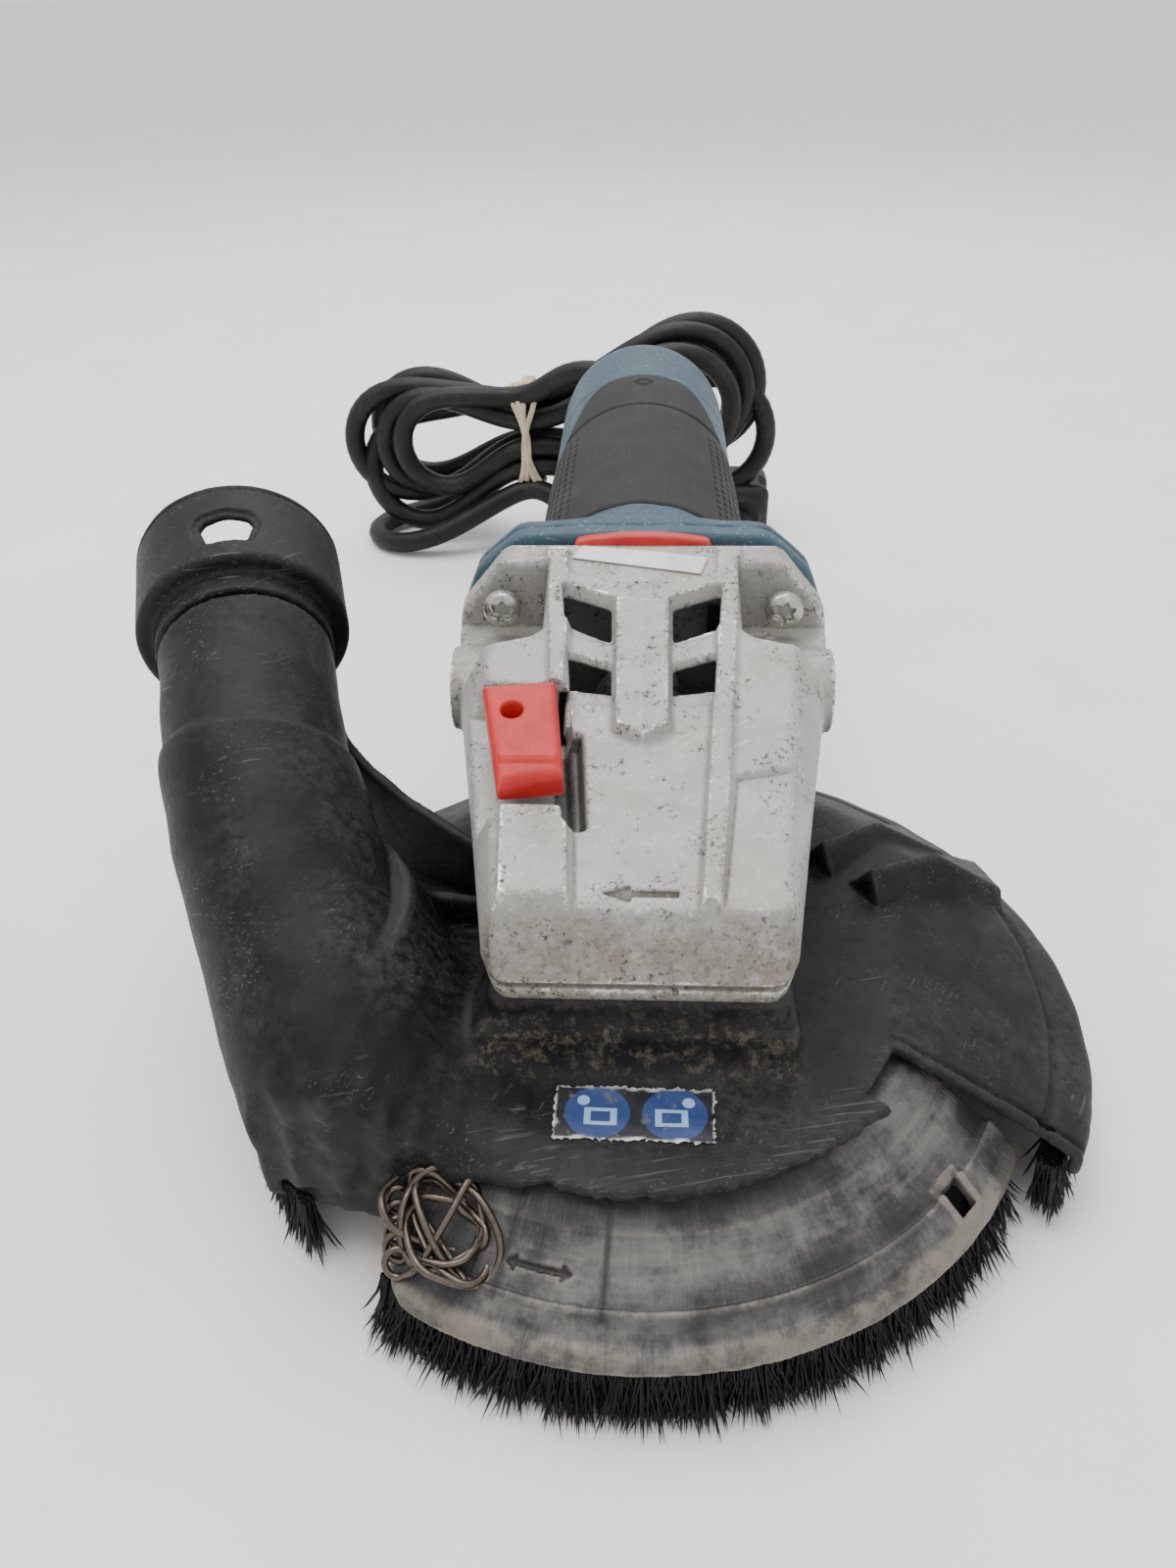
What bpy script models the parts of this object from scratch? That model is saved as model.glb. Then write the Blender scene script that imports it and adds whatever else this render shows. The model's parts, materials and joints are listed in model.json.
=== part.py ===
"""A hand-held concrete surfacing grinder: motor, bevel gears, cup wheel, and a dust guard with a hose duct.

Numbers are millimetres in a working frame whose Z axis is the wheel spindle and whose Y axis runs from the
gear head back along the motor, with the floor at z = 0. The helpers turn millimetres into metres, and the
empty named grinder moves everything so that the body's box is centred on the world origin.
"""

import math

import bmesh
import bpy
from mathutils import Vector

MM = 0.001
GAP = 0.3

# Overall places
MOTOR_Z = 73.0
GUARD_CENTRE = (5.0, 2.0)
GUARD_R = 92.0
BODY_REAR = 257.0
SEGMENT_R = 84.0

# Hose end of the dust duct: the middle of the collar's near rim, and the way out of it
NOZZLE_START = (-93.0, 53.0, 84.0)
NOZZLE_DIRECTION = (-0.27, 0.93, 0.25)
COLLAR_R = 24.0
COLLAR_LENGTH = 24.0
COLLAR_BORE_R = 21.4
NECK_R = 19.25
NECK_LENGTH = 10.0
DUCT_BORE_R = 16.6

# Guard shell
GUARD_TOP = 36.5
GUARD_WALL = 2.6
GUARD_FLAT_R = 64.0
GUARD_SKIRT_Z = 14.0
WINDOW_START, WINDOW_END = -28.0, -124.0
WINDOW_R = 62.5
NOTCH_R = 57.4
NOTCH_END = -43.5
COLLAR_HALF_X = 28.5
COLLAR_FRONT, COLLAR_REAR = -34.5, 38.0
COLLAR_TOP = 53.7

# Gear train: straight bevel gears whose axes cross at the motor's height
PINION_TEETH = 9
CROWN_TEETH = 27
CROWN_R = 20.0
GEAR_INNER_SCALE = 0.67
CROWN_LOCK_R = 22.9
CROWN_RIM_R = 26.5
CROWN_RIM_Z = 64.6
CROWN_BOTTOM_Z = 58.0
PINION_R = CROWN_R * PINION_TEETH / CROWN_TEETH
SHAFT_R = 4.0

# Wheel stack along the spindle
WHEEL_R = 62.5
WHEEL_BOTTOM = 1.8
WHEEL_TOP = 22.0
SPINDLE_R = 7.0
SPINDLE_TOP_R = 5.0
SPINDLE_TOP = 77.2
SPINDLE_STEPS = 24
BEARING_PLAY = 0.08
FLANGE_BORE_R = SPINDLE_R + 0.05

# Spindle lock
LOCK_X, LOCK_Y = -22.5, 4.0
LOCK_FLOOR = 79.0
PIN_R = 2.2

# Housing
FLANGE_FRONT = 66.3
BARREL_R = 28.5
SLEEVE_INNER_R = 26.3
BARREL_BORE_R = 25.5
SLEEVE_START, SLEEVE_END = 88.3, 176.0
HOUSING_END = 204.0
SCREW_X = 32.0
SCREW_Z = (90.0, 54.0)
SWITCH_SLOT_Y = (93.0, 127.0)

# Cord: a 2.4 m rubber lead, wound in a hank behind the tool
CORD_D = 8.6
HANK_Y = 315.0
BAND_X = -48.0
BAND_THICK = 1.9
PLUG_X, PLUG_Y, PLUG_Z = 43.5, 300.5, 14.0
RELIEF_POINTS = 9

# The lead from the rear cap to the hank, and the tail from the hank to the plug
LEAD = [
    (0, 257, 73),
    (0, 266, 73.6),
    (-2.5, 275, 75.6),
    (-9, 284.5, 78.6),
    (-19, 291.4, 80),
    (-31, 295, 78.5),
]
TAIL = [
    (-33, 295.5, 22),
    (-24, 289, 15.5),
    (-12.5, 279, 9),
    (0, 270.5, 5.4),
    (13, 266.5, 4.8),
    (27, 270.5, 7),
    (37, 280, 10.4),
    (42.5, 290.5, 13.2),
    (43.5, 299.4, 14),
]


def collection_named(name):
    found = bpy.data.collections.new(name)
    bpy.context.scene.collection.children.link(found)
    return found


def clear_scene():
    for obj in list(bpy.data.objects):
        bpy.data.objects.remove(obj, do_unlink=True)


def box_left():
    """The leftmost reach of the hose collar's far rim."""
    direction = Vector(NOZZLE_DIRECTION).normalized()
    far = Vector(NOZZLE_START) + direction * COLLAR_LENGTH
    return far.x - COLLAR_R * math.sqrt(1 - direction.x**2)


clear_scene()
PARTS = collection_named("concrete_grinder")
CUTTERS = collection_named("cutters")
FRAME = bpy.data.objects.new("grinder", None)
FRAME.location = (
    -(box_left() + GUARD_CENTRE[0] + GUARD_R) / 2 * MM,
    -(BODY_REAR - SEGMENT_R) / 2 * MM,
    0,
)
PARTS.objects.link(FRAME)


def material(name, colour, roughness, metallic=0.0):
    made = bpy.data.materials.new(name)
    made.use_nodes = True
    shader = made.node_tree.nodes["Principled BSDF"]
    shader.inputs["Base Color"].default_value = (*colour, 1)
    shader.inputs["Roughness"].default_value = roughness
    shader.inputs["Metallic"].default_value = metallic
    return made


CAST = material("cast_aluminium", (0.52, 0.52, 0.5), 0.5, 0.85)
BLUE = material("blue_plastic", (0.06, 0.13, 0.19), 0.5)
BLACK = material("black_plastic", (0.02, 0.02, 0.021), 0.55)
GRIP = material("grip_rubber", (0.03, 0.03, 0.031), 0.8)
RED = material("red_plastic", (0.62, 0.05, 0.05), 0.45)
WORN = material("worn_steel_plate", (0.3, 0.29, 0.27), 0.5, 0.9)
STEEL = material("steel", (0.5, 0.5, 0.5), 0.3, 1.0)
ZINC = material("zinc_plated_steel", (0.62, 0.62, 0.6), 0.35, 1.0)
COPPER = material("copper_winding", (0.6, 0.28, 0.12), 0.35, 1.0)
BRASS = material("brass", (0.7, 0.52, 0.22), 0.35, 1.0)
CARBON = material("carbon", (0.03, 0.03, 0.03), 0.7)
LAMINATION = material("laminated_steel", (0.3, 0.3, 0.31), 0.45, 0.9)
DIAMOND = material("diamond_matrix", (0.2, 0.19, 0.17), 0.8, 0.4)
BRISTLE = material("bristle", (0.012, 0.012, 0.012), 0.75)
RUBBER = material("cord_rubber", (0.016, 0.016, 0.017), 0.6)
BAND = material("elastic_band", (0.8, 0.7, 0.5), 0.6)


def place(name, data, surface, collection=PARTS):
    obj = bpy.data.objects.new(name, data)
    collection.objects.link(obj)
    obj.parent = FRAME
    if surface:
        data.materials.append(surface)
    if collection is CUTTERS:
        obj.hide_render = True
        obj.display_type = "WIRE"
    return obj


def home(surface):
    """Cutters have no surface of their own."""
    return PARTS if surface else CUTTERS


def solid_from(name, bm, surface, origin=(0, 0, 0)):
    bmesh.ops.recalc_face_normals(bm, faces=bm.faces)
    mesh = bpy.data.meshes.new(name)
    bm.to_mesh(mesh)
    bm.free()
    mesh.shade_smooth()
    mesh.set_sharp_from_angle(angle=math.radians(30))
    obj = place(name, mesh, surface, home(surface))
    obj.location = Vector(origin) * MM
    return obj


def block(name, low, high, surface=None, bevel=0.0, segments=2):
    """A box between two corners, with its edges rounded by bevel."""
    low, high = Vector(low), Vector(high)
    bm = bmesh.new()
    bmesh.ops.create_cube(bm, size=MM)
    bmesh.ops.scale(bm, vec=high - low, verts=bm.verts)
    obj = solid_from(name, bm, surface, (low + high) / 2)
    if bevel:
        rounding = obj.modifiers.new("rounding", "BEVEL")
        rounding.width = bevel * MM
        rounding.segments = segments
    return obj


def rod(name, start, end, radius, surface=None, sides=20):
    """A round bar from start to end."""
    start, end = Vector(start), Vector(end)
    bm = bmesh.new()
    bmesh.ops.create_cone(
        bm,
        cap_ends=True,
        segments=sides,
        radius1=radius * MM,
        radius2=radius * MM,
        depth=(end - start).length * MM,
    )
    obj = solid_from(name, bm, surface, (start + end) / 2)
    obj.rotation_mode = "QUATERNION"
    obj.rotation_quaternion = Vector((0, 0, 1)).rotation_difference(end - start)
    return obj


def turned(name, profile, surface=None, origin=(0, 0, 0), axis=(0, 0, 1), steps=32):
    """A turned piece from (radius, height) points that run down its outer side.

    A profile that starts and ends on the axis is solid, and any other one closes on itself as a ring.
    """
    ring = profile[0][0] > 0
    mesh = bpy.data.meshes.new(name)
    points = [(radius * MM, 0, height * MM) for radius, height in profile]
    edges = [(i, i + 1) for i in range(len(points) - 1)]
    if ring:
        edges.append((len(points) - 1, 0))
    mesh.from_pydata(points, edges, [])
    obj = place(name, mesh, surface, home(surface))
    screw = obj.modifiers.new("turn", "SCREW")
    screw.steps = steps
    screw.render_steps = steps
    screw.use_merge_vertices = True
    screw.merge_threshold = 0.00001
    obj.location = Vector(origin) * MM
    obj.rotation_mode = "QUATERNION"
    obj.rotation_quaternion = Vector((0, 0, 1)).rotation_difference(Vector(axis))
    return obj


def motor_turned(name, profile, surface=None, steps=32):
    """A piece turned about the motor's axis. Its profile's heights are the Y positions."""
    return turned(name, profile, surface, (0, 0, MOTOR_Z), (0, 1, 0), steps)


def extruded(name, outline, low, high, surface=None, axis="Z"):
    """A flat outline of (x, y), or of (x, z) for axis Y, carried from low to high."""
    curve = bpy.data.curves.new(name, "CURVE")
    curve.dimensions = "2D"
    curve.fill_mode = "BOTH"
    curve.extrude = (high - low) / 2 * MM
    spline = curve.splines.new("POLY")
    spline.points.add(len(outline) - 1)
    for point, (x, y) in zip(spline.points, outline):
        point.co = (x * MM, y * MM, 0, 1)
    spline.use_cyclic_u = True
    obj = place(name, curve, surface, home(surface))
    if axis == "Z":
        obj.location = (0, 0, (low + high) / 2 * MM)
    else:
        obj.location = (0, (low + high) / 2 * MM, 0)
        obj.rotation_euler = (math.pi / 2, 0, 0)
    return meshed(obj)


def meshed(obj):
    """The same piece as a mesh, with its caps welded on, so that it can be cut or joined."""
    bpy.context.view_layer.update()
    graph = bpy.context.evaluated_depsgraph_get()
    mesh = bpy.data.meshes.new_from_object(obj.evaluated_get(graph))
    bm = bmesh.new()
    bm.from_mesh(mesh)
    bmesh.ops.remove_doubles(bm, verts=bm.verts, dist=0.000002)
    bmesh.ops.recalc_face_normals(bm, faces=bm.faces)
    bm.to_mesh(mesh)
    bm.free()
    name, collection = obj.name, obj.users_collection[0]
    matrix = obj.matrix_world.copy()
    surface = obj.data.materials[0] if obj.data.materials else None
    bpy.data.objects.remove(obj, do_unlink=True)
    mesh.materials.clear()
    made = place(name, mesh, surface, collection)
    made.matrix_world = matrix
    return made


def tube(name, points, radii, surface=None, resolution=4):
    """A round tube or cord through the points, with a radius at each one."""
    curve = bpy.data.curves.new(name, "CURVE")
    curve.dimensions = "3D"
    curve.bevel_depth = MM
    curve.bevel_resolution = resolution
    curve.use_fill_caps = True
    curve.twist_mode = "MINIMUM"
    spline = curve.splines.new("POLY")
    spline.points.add(len(points) - 1)
    for point, place_at, radius in zip(spline.points, points, radii):
        point.co = (*(Vector(place_at) * MM), 1)
        point.radius = radius
    return meshed(place(name, curve, surface, home(surface)))


def loft(name, rings, surface=None):
    """A closed solid through rings of the same number of points."""
    bm = bmesh.new()
    made = [[bm.verts.new(Vector(point) * MM) for point in ring] for ring in rings]
    count = len(rings[0])
    for first, second in zip(made, made[1:]):
        for i in range(count):
            bm.faces.new((first[i], first[(i + 1) % count], second[(i + 1) % count], second[i]))
    bm.faces.new(made[0])
    bm.faces.new(made[-1])
    return solid_from(name, bm, surface)


def combine(obj, other, operation):
    step = obj.modifiers.new(other.name, "BOOLEAN")
    step.object = other
    step.operation = operation


def cut(obj, *cutters):
    for cutter in cutters:
        combine(obj, cutter, "DIFFERENCE")
    return obj


def smooth_route(points, spacing):
    """Points a fixed distance apart along a Catmull-Rom curve through the given points."""
    points = [Vector(point) for point in points]
    ends = [2 * points[0] - points[1], *points, 2 * points[-1] - points[-2]]
    fine = []
    for a, b, c, d in zip(ends, ends[1:], ends[2:], ends[3:]):
        for step in range(24):
            t = step / 24
            fine.append(
                0.5
                * (
                    2 * b
                    + (c - a) * t
                    + (2 * a - 5 * b + 4 * c - d) * t**2
                    + (3 * b - a - 3 * c + d) * t**3
                )
            )
    fine.append(points[-1])
    total = sum((b - a).length for a, b in zip(fine, fine[1:]))
    count = max(2, round(total / spacing))
    kept, travelled = [fine[0]], 0.0
    for a, b in zip(fine, fine[1:]):
        step = (b - a).length
        while len(kept) < count and travelled + step >= total * len(kept) / count:
            part = (total * len(kept) / count - travelled) / step
            kept.append(a.lerp(b, part))
        travelled += step
    kept.append(fine[-1])
    return kept


def sector(name, start, end, inner, outer, low, high, surface=None):
    """Part of a ring about the spindle, between two angles in degrees."""
    steps = max(2, round(abs(end - start) / 6))
    angles = [math.radians(start + (end - start) * i / steps) for i in range(steps + 1)]
    outline = [(outer * math.cos(a), outer * math.sin(a)) for a in angles]
    outline += [(inner * math.cos(a), inner * math.sin(a)) for a in reversed(angles)]
    return extruded(name, outline, low, high, surface)


# ---------------------------------------------------------------- wheel and spindle


def build_spindle():
    turned(
        "spindle",
        [
            (0, SPINDLE_TOP),
            (SPINDLE_TOP_R, SPINDLE_TOP),
            (SPINDLE_TOP_R, 57.7),
            (SPINDLE_R, 57.7),
            (SPINDLE_R, 9),
            (6, 8),
            (0, 8),
        ],
        STEEL,
        steps=SPINDLE_STEPS,
    )
    turned(
        "backing_flange",
        [(FLANGE_BORE_R, 31), (13, 31), (20, 25.3), (20, 22.3), (FLANGE_BORE_R, 22.3)],
        STEEL,
        steps=SPINDLE_STEPS,
    )
    nut = turned(
        "clamp_nut",
        [(FLANGE_BORE_R, 17.4), (19.5, 17.4), (19.5, 14), (14, 10.5), (FLANGE_BORE_R, 10.5)],
        STEEL,
        steps=SPINDLE_STEPS,
    )
    for turn in range(4):
        angle = math.radians(45 + 90 * turn)
        x, y = 14.5 * math.cos(angle), 14.5 * math.sin(angle)
        cut(nut, rod(f"nut_hole_{turn}", (x, y, 9), (x, y, 15), 2.4, sides=6))


def build_cup_wheel():
    """A diamond cup wheel: a steel cup with a ring of grinding matrix on its rim."""
    wheel = turned(
        "cup_wheel",
        [
            (11.2, WHEEL_TOP),
            (30, WHEEL_TOP),
            (41, 20),
            (58, 12.5),
            (WHEEL_R, 10),
            (WHEEL_R, WHEEL_BOTTOM),
            (44, WHEEL_BOTTOM),
            (44, 8),
            (36, 14),
            (29, 17.7),
            (11.2, 17.7),
        ],
        DIAMOND,
        steps=30,
    )
    for hole in range(6):
        angle = math.radians(30 + 60 * hole)
        x, y = 36 * math.cos(angle), 36 * math.sin(angle)
        cut(wheel, rod(f"wheel_hole_{hole}", (x, y, 5), (x, y, 30), 3.2, sides=8))


def gear_ring(teeth, radius, addendum, dedendum, fill):
    """Polar points (angle, height) of a ring of straight teeth: fill is the tooth's share of a pitch."""
    pitch = 2 * math.pi / teeth
    points = []
    for tooth in range(teeth):
        middle = tooth * pitch
        root, tip = fill * pitch * 0.72, fill * pitch * 0.3
        points += [(middle - root, -dedendum), (middle - tip, addendum)]
        points += [(middle + tip, addendum), (middle + root, -dedendum)]
    return [(angle, radius, height) for angle, height in points]


def build_crown_gear():
    """The spindle's bevel gear, whose teeth face up and narrow towards the point where the axes cross."""
    teeth = gear_ring(CROWN_TEETH, CROWN_R, 0.9, 1.5, 0.34)
    pitch_z = MOTOR_Z - PINION_R
    rings = []
    for scale in (GEAR_INNER_SCALE, 1.0):
        rings.append(
            [
                (
                    -radius * scale * math.sin(angle),
                    radius * scale * math.cos(angle),
                    MOTOR_Z + (pitch_z + height - MOTOR_Z) * scale,
                )
                for angle, radius, height in teeth
            ]
        )
    inner, outer = rings

    def circle(radius, z):
        return [(-radius * math.sin(angle), radius * math.cos(angle), z) for angle, _, _ in teeth]

    bore = SPINDLE_TOP_R + 0.05
    profile = [
        circle(bore, 66.5),
        inner,
        outer,
        circle(CROWN_R + 0.2, CROWN_RIM_Z),
        circle(CROWN_RIM_R, CROWN_RIM_Z),
        circle(CROWN_RIM_R, CROWN_BOTTOM_Z),
        circle(bore, CROWN_BOTTOM_Z),
    ]
    bm = bmesh.new()
    made = [[bm.verts.new(Vector(point) * MM) for point in ring] for ring in profile]
    count = len(inner)
    for first, second in zip(made, made[1:] + made[:1]):
        for i in range(count):
            bm.faces.new((first[i], first[(i + 1) % count], second[(i + 1) % count], second[i]))
    gear = solid_from("crown_gear", bm, STEEL)
    start = math.atan2(LOCK_Y, LOCK_X)
    for quarter in range(4):
        angle = start + quarter * math.pi / 2
        x, y = CROWN_LOCK_R * math.cos(angle), CROWN_LOCK_R * math.sin(angle)
        cut(gear, rod(f"lock_hole_{quarter}", (x, y, 50), (x, y, 70), PIN_R + 0.5, sides=8))


def build_pinion():
    """The motor's bevel gear, on the front end of the armature shaft, half a tooth off the crown gear's."""
    pitch = 2 * math.pi / PINION_TEETH
    teeth = gear_ring(PINION_TEETH, 0, 0.9, 1.5, 0.34)
    rings = []
    for scale in (GEAR_INNER_SCALE, 1.0):
        rings.append(
            [
                (
                    (PINION_R + height) * scale * math.sin(angle + pitch / 2),
                    CROWN_R * scale,
                    MOTOR_Z - (PINION_R + height) * scale * math.cos(angle + pitch / 2),
                )
                for angle, _, height in teeth
            ]
        )
    pinion = loft("pinion", rings, STEEL)
    cut(pinion, rod("pinion_bore", (0, 5, MOTOR_Z), (0, 40, MOTOR_Z), 2.3, sides=12))


# ---------------------------------------------------------------- motor


def build_armature():
    shaft = [(0, 196), (3.5, 196), (3.5, 174), (5, 174), (5, 39)]
    shaft += [(SHAFT_R, 39), (SHAFT_R, 22), (2.25, 22), (2.25, 12.5), (0, 12.5)]
    motor_turned("armature_shaft", shaft, STEEL, steps=12)
    core_profile = [(5.05, 150), (15.8, 150), (15.8, 108), (5.05, 108)]
    core = motor_turned("armature_core", core_profile, LAMINATION, steps=24)
    for slot in range(8):
        angle = 2 * math.pi * (slot + 0.5) / 8
        cutter = block(f"core_slot_{slot}", (-1.6, 100, -0.9), (1.6, 160, 0.9))
        cutter.location = Vector((15.2 * math.cos(angle), 130, MOTOR_Z - 15.2 * math.sin(angle))) * MM
        cutter.rotation_euler = (0, angle, 0)
        cut(core, cutter)
    for name, start, end in (("winding_front", 98, 107.7), ("winding_rear", 150.3, 158)):
        profile = [(5.05, end), (11, end), (14, end - 3), (14, start + 3), (11, start), (5.05, start)]
        motor_turned(f"armature_{name}", profile, COPPER, steps=20)
    motor_turned("commutator", [(5.05, 172), (10, 172), (10, 159), (5.05, 159)], COPPER, steps=24)
    fan_profile = [(5.05, 82), (24, 82), (24, 79.5), (9, 79.5), (9, 72), (5.05, 72)]
    fan = motor_turned("cooling_fan", fan_profile, BLACK, steps=24)
    for blade in range(9):
        angle = 2 * math.pi * blade / 9
        vane = block(f"fan_blade_{blade}", (9.5, -0.8, 72.5), (23.5, 0.8, 80))
        vane.location = Vector((16.5 * math.cos(angle), 76.25, MOTOR_Z - 16.5 * math.sin(angle))) * MM
        vane.rotation_euler = (math.pi / 2, angle, 0)
        vane.rotation_mode = "YXZ"
        combine(fan, vane, "UNION")


def build_bearings():
    def race(name, inner, outer, start, end, along):
        profile = [(inner, end), (outer, end), (outer, start), (inner, start)]
        along(name, profile, STEEL, steps=SPINDLE_STEPS)

    race("armature_bearing_front", SHAFT_R + 0.05, 11, 29, 38.5, motor_turned)
    race("armature_bearing_rear", 3.55, 9.5, 178, 184, motor_turned)
    race("spindle_bearing_upper", SPINDLE_TOP_R + BEARING_PLAY, 8.2, 69.7, SPINDLE_TOP, turned)
    race("spindle_bearing_lower", SPINDLE_R + BEARING_PLAY, 17.5, 42, 53, turned)


def build_stator():
    stator_profile = [(16.3, 150), (22.8, 150), (22.8, 108), (16.3, 108)]
    stator = motor_turned("stator_core", stator_profile, LAMINATION, steps=24)
    for side in (1, -1):
        slot = block(f"stator_slot_{side}", (15 * side - 3, 100, 69), (15 * side + 3, 160, 77))
        cut(stator, slot)
    for name, start, end in (("field_coil_front", 99, 107.7), ("field_coil_rear", 150.3, 157.5)):
        motor_turned(name, [(16.3, end), (21.5, end), (21.5, start), (16.3, start)], COPPER, steps=24)


def build_brushes():
    for name, side in (("left", -1), ("right", 1)):
        holder = block(
            f"brush_holder_{name}",
            (min(12 * side, 22 * side), 161, MOTOR_Z - 4.5),
            (max(12 * side, 22 * side), 170, MOTOR_Z + 4.5),
            BRASS,
        )
        hollow = block(
            f"brush_bore_{name}",
            (min(10 * side, 24 * side), 162.2, MOTOR_Z - 3.3),
            (max(10 * side, 24 * side), 168.8, MOTOR_Z + 3.3),
        )
        cut(holder, hollow)
        block(
            f"carbon_brush_{name}",
            (min(10.3 * side, 20 * side), 162.5, MOTOR_Z - 3),
            (max(10.3 * side, 20 * side), 168.5, MOTOR_Z + 3),
            CARBON,
        )


# ---------------------------------------------------------------- casings


def flange_outline(extra=0.0):
    """The corners of the gear head's rear face, as (x, z)."""
    half = [(35.5, 100.5), (43, 82), (43, 56), (35, 45)]
    right = [(x + extra, z + (extra if z > MOTOR_Z else -extra)) for x, z in half]
    return right + [(-x, z) for x, z in reversed(right)]


def outline_radius(corners, angle):
    """The distance from the motor's axis to the outline along one direction."""
    direction = (math.cos(angle), math.sin(angle))
    reach = 0.0
    for (x1, z1), (x2, z2) in zip(corners, corners[1:] + corners[:1]):
        z1, z2 = z1 - MOTOR_Z, z2 - MOTOR_Z
        across = direction[0] * (z2 - z1) - direction[1] * (x2 - x1)
        if abs(across) < 1e-9:
            continue
        far = (x1 * (z2 - z1) - z1 * (x2 - x1)) / across
        along = (x1 * direction[1] - z1 * direction[0]) / across
        if far > 0 and -1e-9 <= along <= 1 + 1e-9:
            reach = max(reach, far)
    return reach


def housing_ring(y, blend, radius, sides=24):
    """A section at y that is the flange outline at blend 0 and a circle at blend 1."""
    corners = flange_outline()
    points = []
    for i in range(sides):
        angle = 2 * math.pi * (i + 0.5) / sides
        reach = (1 - blend) * outline_radius(corners, angle) + blend * radius
        points.append((reach * math.cos(angle), y, MOTOR_Z + reach * math.sin(angle)))
    return points


def build_motor_housing():
    housing = loft(
        "motor_housing",
        [
            housing_ring(FLANGE_FRONT, 0, BARREL_R),
            housing_ring(75, 0, BARREL_R),
            housing_ring(82, 0.5, BARREL_R),
            housing_ring(88, 1, BARREL_R),
            housing_ring(88.01, 1, SLEEVE_INNER_R - GAP),
            housing_ring(SLEEVE_END + GAP, 1, SLEEVE_INNER_R - GAP),
            housing_ring(SLEEVE_END + GAP + 0.01, 1, BARREL_R),
            housing_ring(HOUSING_END, 1, BARREL_R),
        ],
        BLUE,
    )
    bore_profile = [(0, 176), (BARREL_BORE_R, 176), (BARREL_BORE_R, 60), (0, 60)]
    front = motor_turned("barrel_bore", bore_profile, steps=24)
    seat = motor_turned("rear_bearing_seat", [(0, 190), (9.8, 190), (9.8, 170), (0, 170)], steps=20)
    bay_profile = [(0, 210), (BARREL_BORE_R, 210), (BARREL_BORE_R, 186), (0, 186)]
    back = motor_turned("switch_bay", bay_profile, steps=24)
    cut(housing, front, seat, back)
    cut(housing, switch_slot("housing_switch_slot", 5.4), rod_slot())
    cut(housing, arc_block("panel_recess", 26.0, 32, 30.5, 149.5, SLEEVE_END - 2, HOUSING_END - 2 + GAP))
    for x, z in screw_places():
        cut(housing, rod(f"housing_screw_hole_{x}_{z}", (x, 60, z), (x, 78, z), 2.9, sides=10))


def switch_slot(name, half_height):
    low, high = SWITCH_SLOT_Y
    return block(name, (22, low, MOTOR_Z - half_height), (40, high, MOTOR_Z + half_height))


def rod_slot():
    """The passage for the switch rod through the wall that holds the rear bearing."""
    return block("rod_slot", (22.4, 165, MOTOR_Z - 3.7), (25.4, 200, MOTOR_Z + 3.7))


def arc_block(name, inner, outer, start, end, low, high, surface=None):
    """Part of a tube about the motor's axis, between two angles in degrees, from y = low to y = high."""
    steps = max(2, round((end - start) / 12))
    angles = [math.radians(start + (end - start) * i / steps) for i in range(steps + 1)]
    outline = [(outer * math.cos(a), MOTOR_Z + outer * math.sin(a)) for a in angles]
    outline += [(inner * math.cos(a), MOTOR_Z + inner * math.sin(a)) for a in reversed(angles)]
    return extruded(name, outline, low, high, surface, axis="Y")


def build_grip():
    sleeve = motor_turned(
        "grip_sleeve",
        [
            (SLEEVE_INNER_R, SLEEVE_END),
            (BARREL_R, SLEEVE_END),
            (BARREL_R + 0.6, 165),
            (BARREL_R + 0.6, 92),
            (BARREL_R, SLEEVE_START),
            (SLEEVE_INNER_R, SLEEVE_START),
        ],
        GRIP,
        steps=24,
    )
    cut(sleeve, switch_slot("sleeve_switch_slot", 5.4))
    arc_block("top_panel", 26.3, BARREL_R + 0.4, 31.5, 148.5, SLEEVE_END + GAP, HOUSING_END - 2, BLACK)


def build_rear_cap():
    outer = [(0, BODY_REAR), (17, BODY_REAR), (24, 254), (27.5, 247), (BARREL_R, 238)]
    outer.append((BARREL_R, HOUSING_END + GAP))
    inner = [(0, 254.5), (16, 254.5), (22, 252), (25, 245), (26, 238), (26, 200)]
    cap = motor_turned("rear_cap", outer + [(0, HOUSING_END + GAP)], BLUE, steps=24)
    cut(cap, motor_turned("cap_hollow", inner + [(0, 200)], steps=24))
    cut(cap, rod("cord_hole", (0, 240, MOTOR_Z), (0, 270, MOTOR_Z), 6.8, sides=16))


def screw_places():
    return [(x, z) for z in SCREW_Z for x in (-SCREW_X, SCREW_X)]


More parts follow.
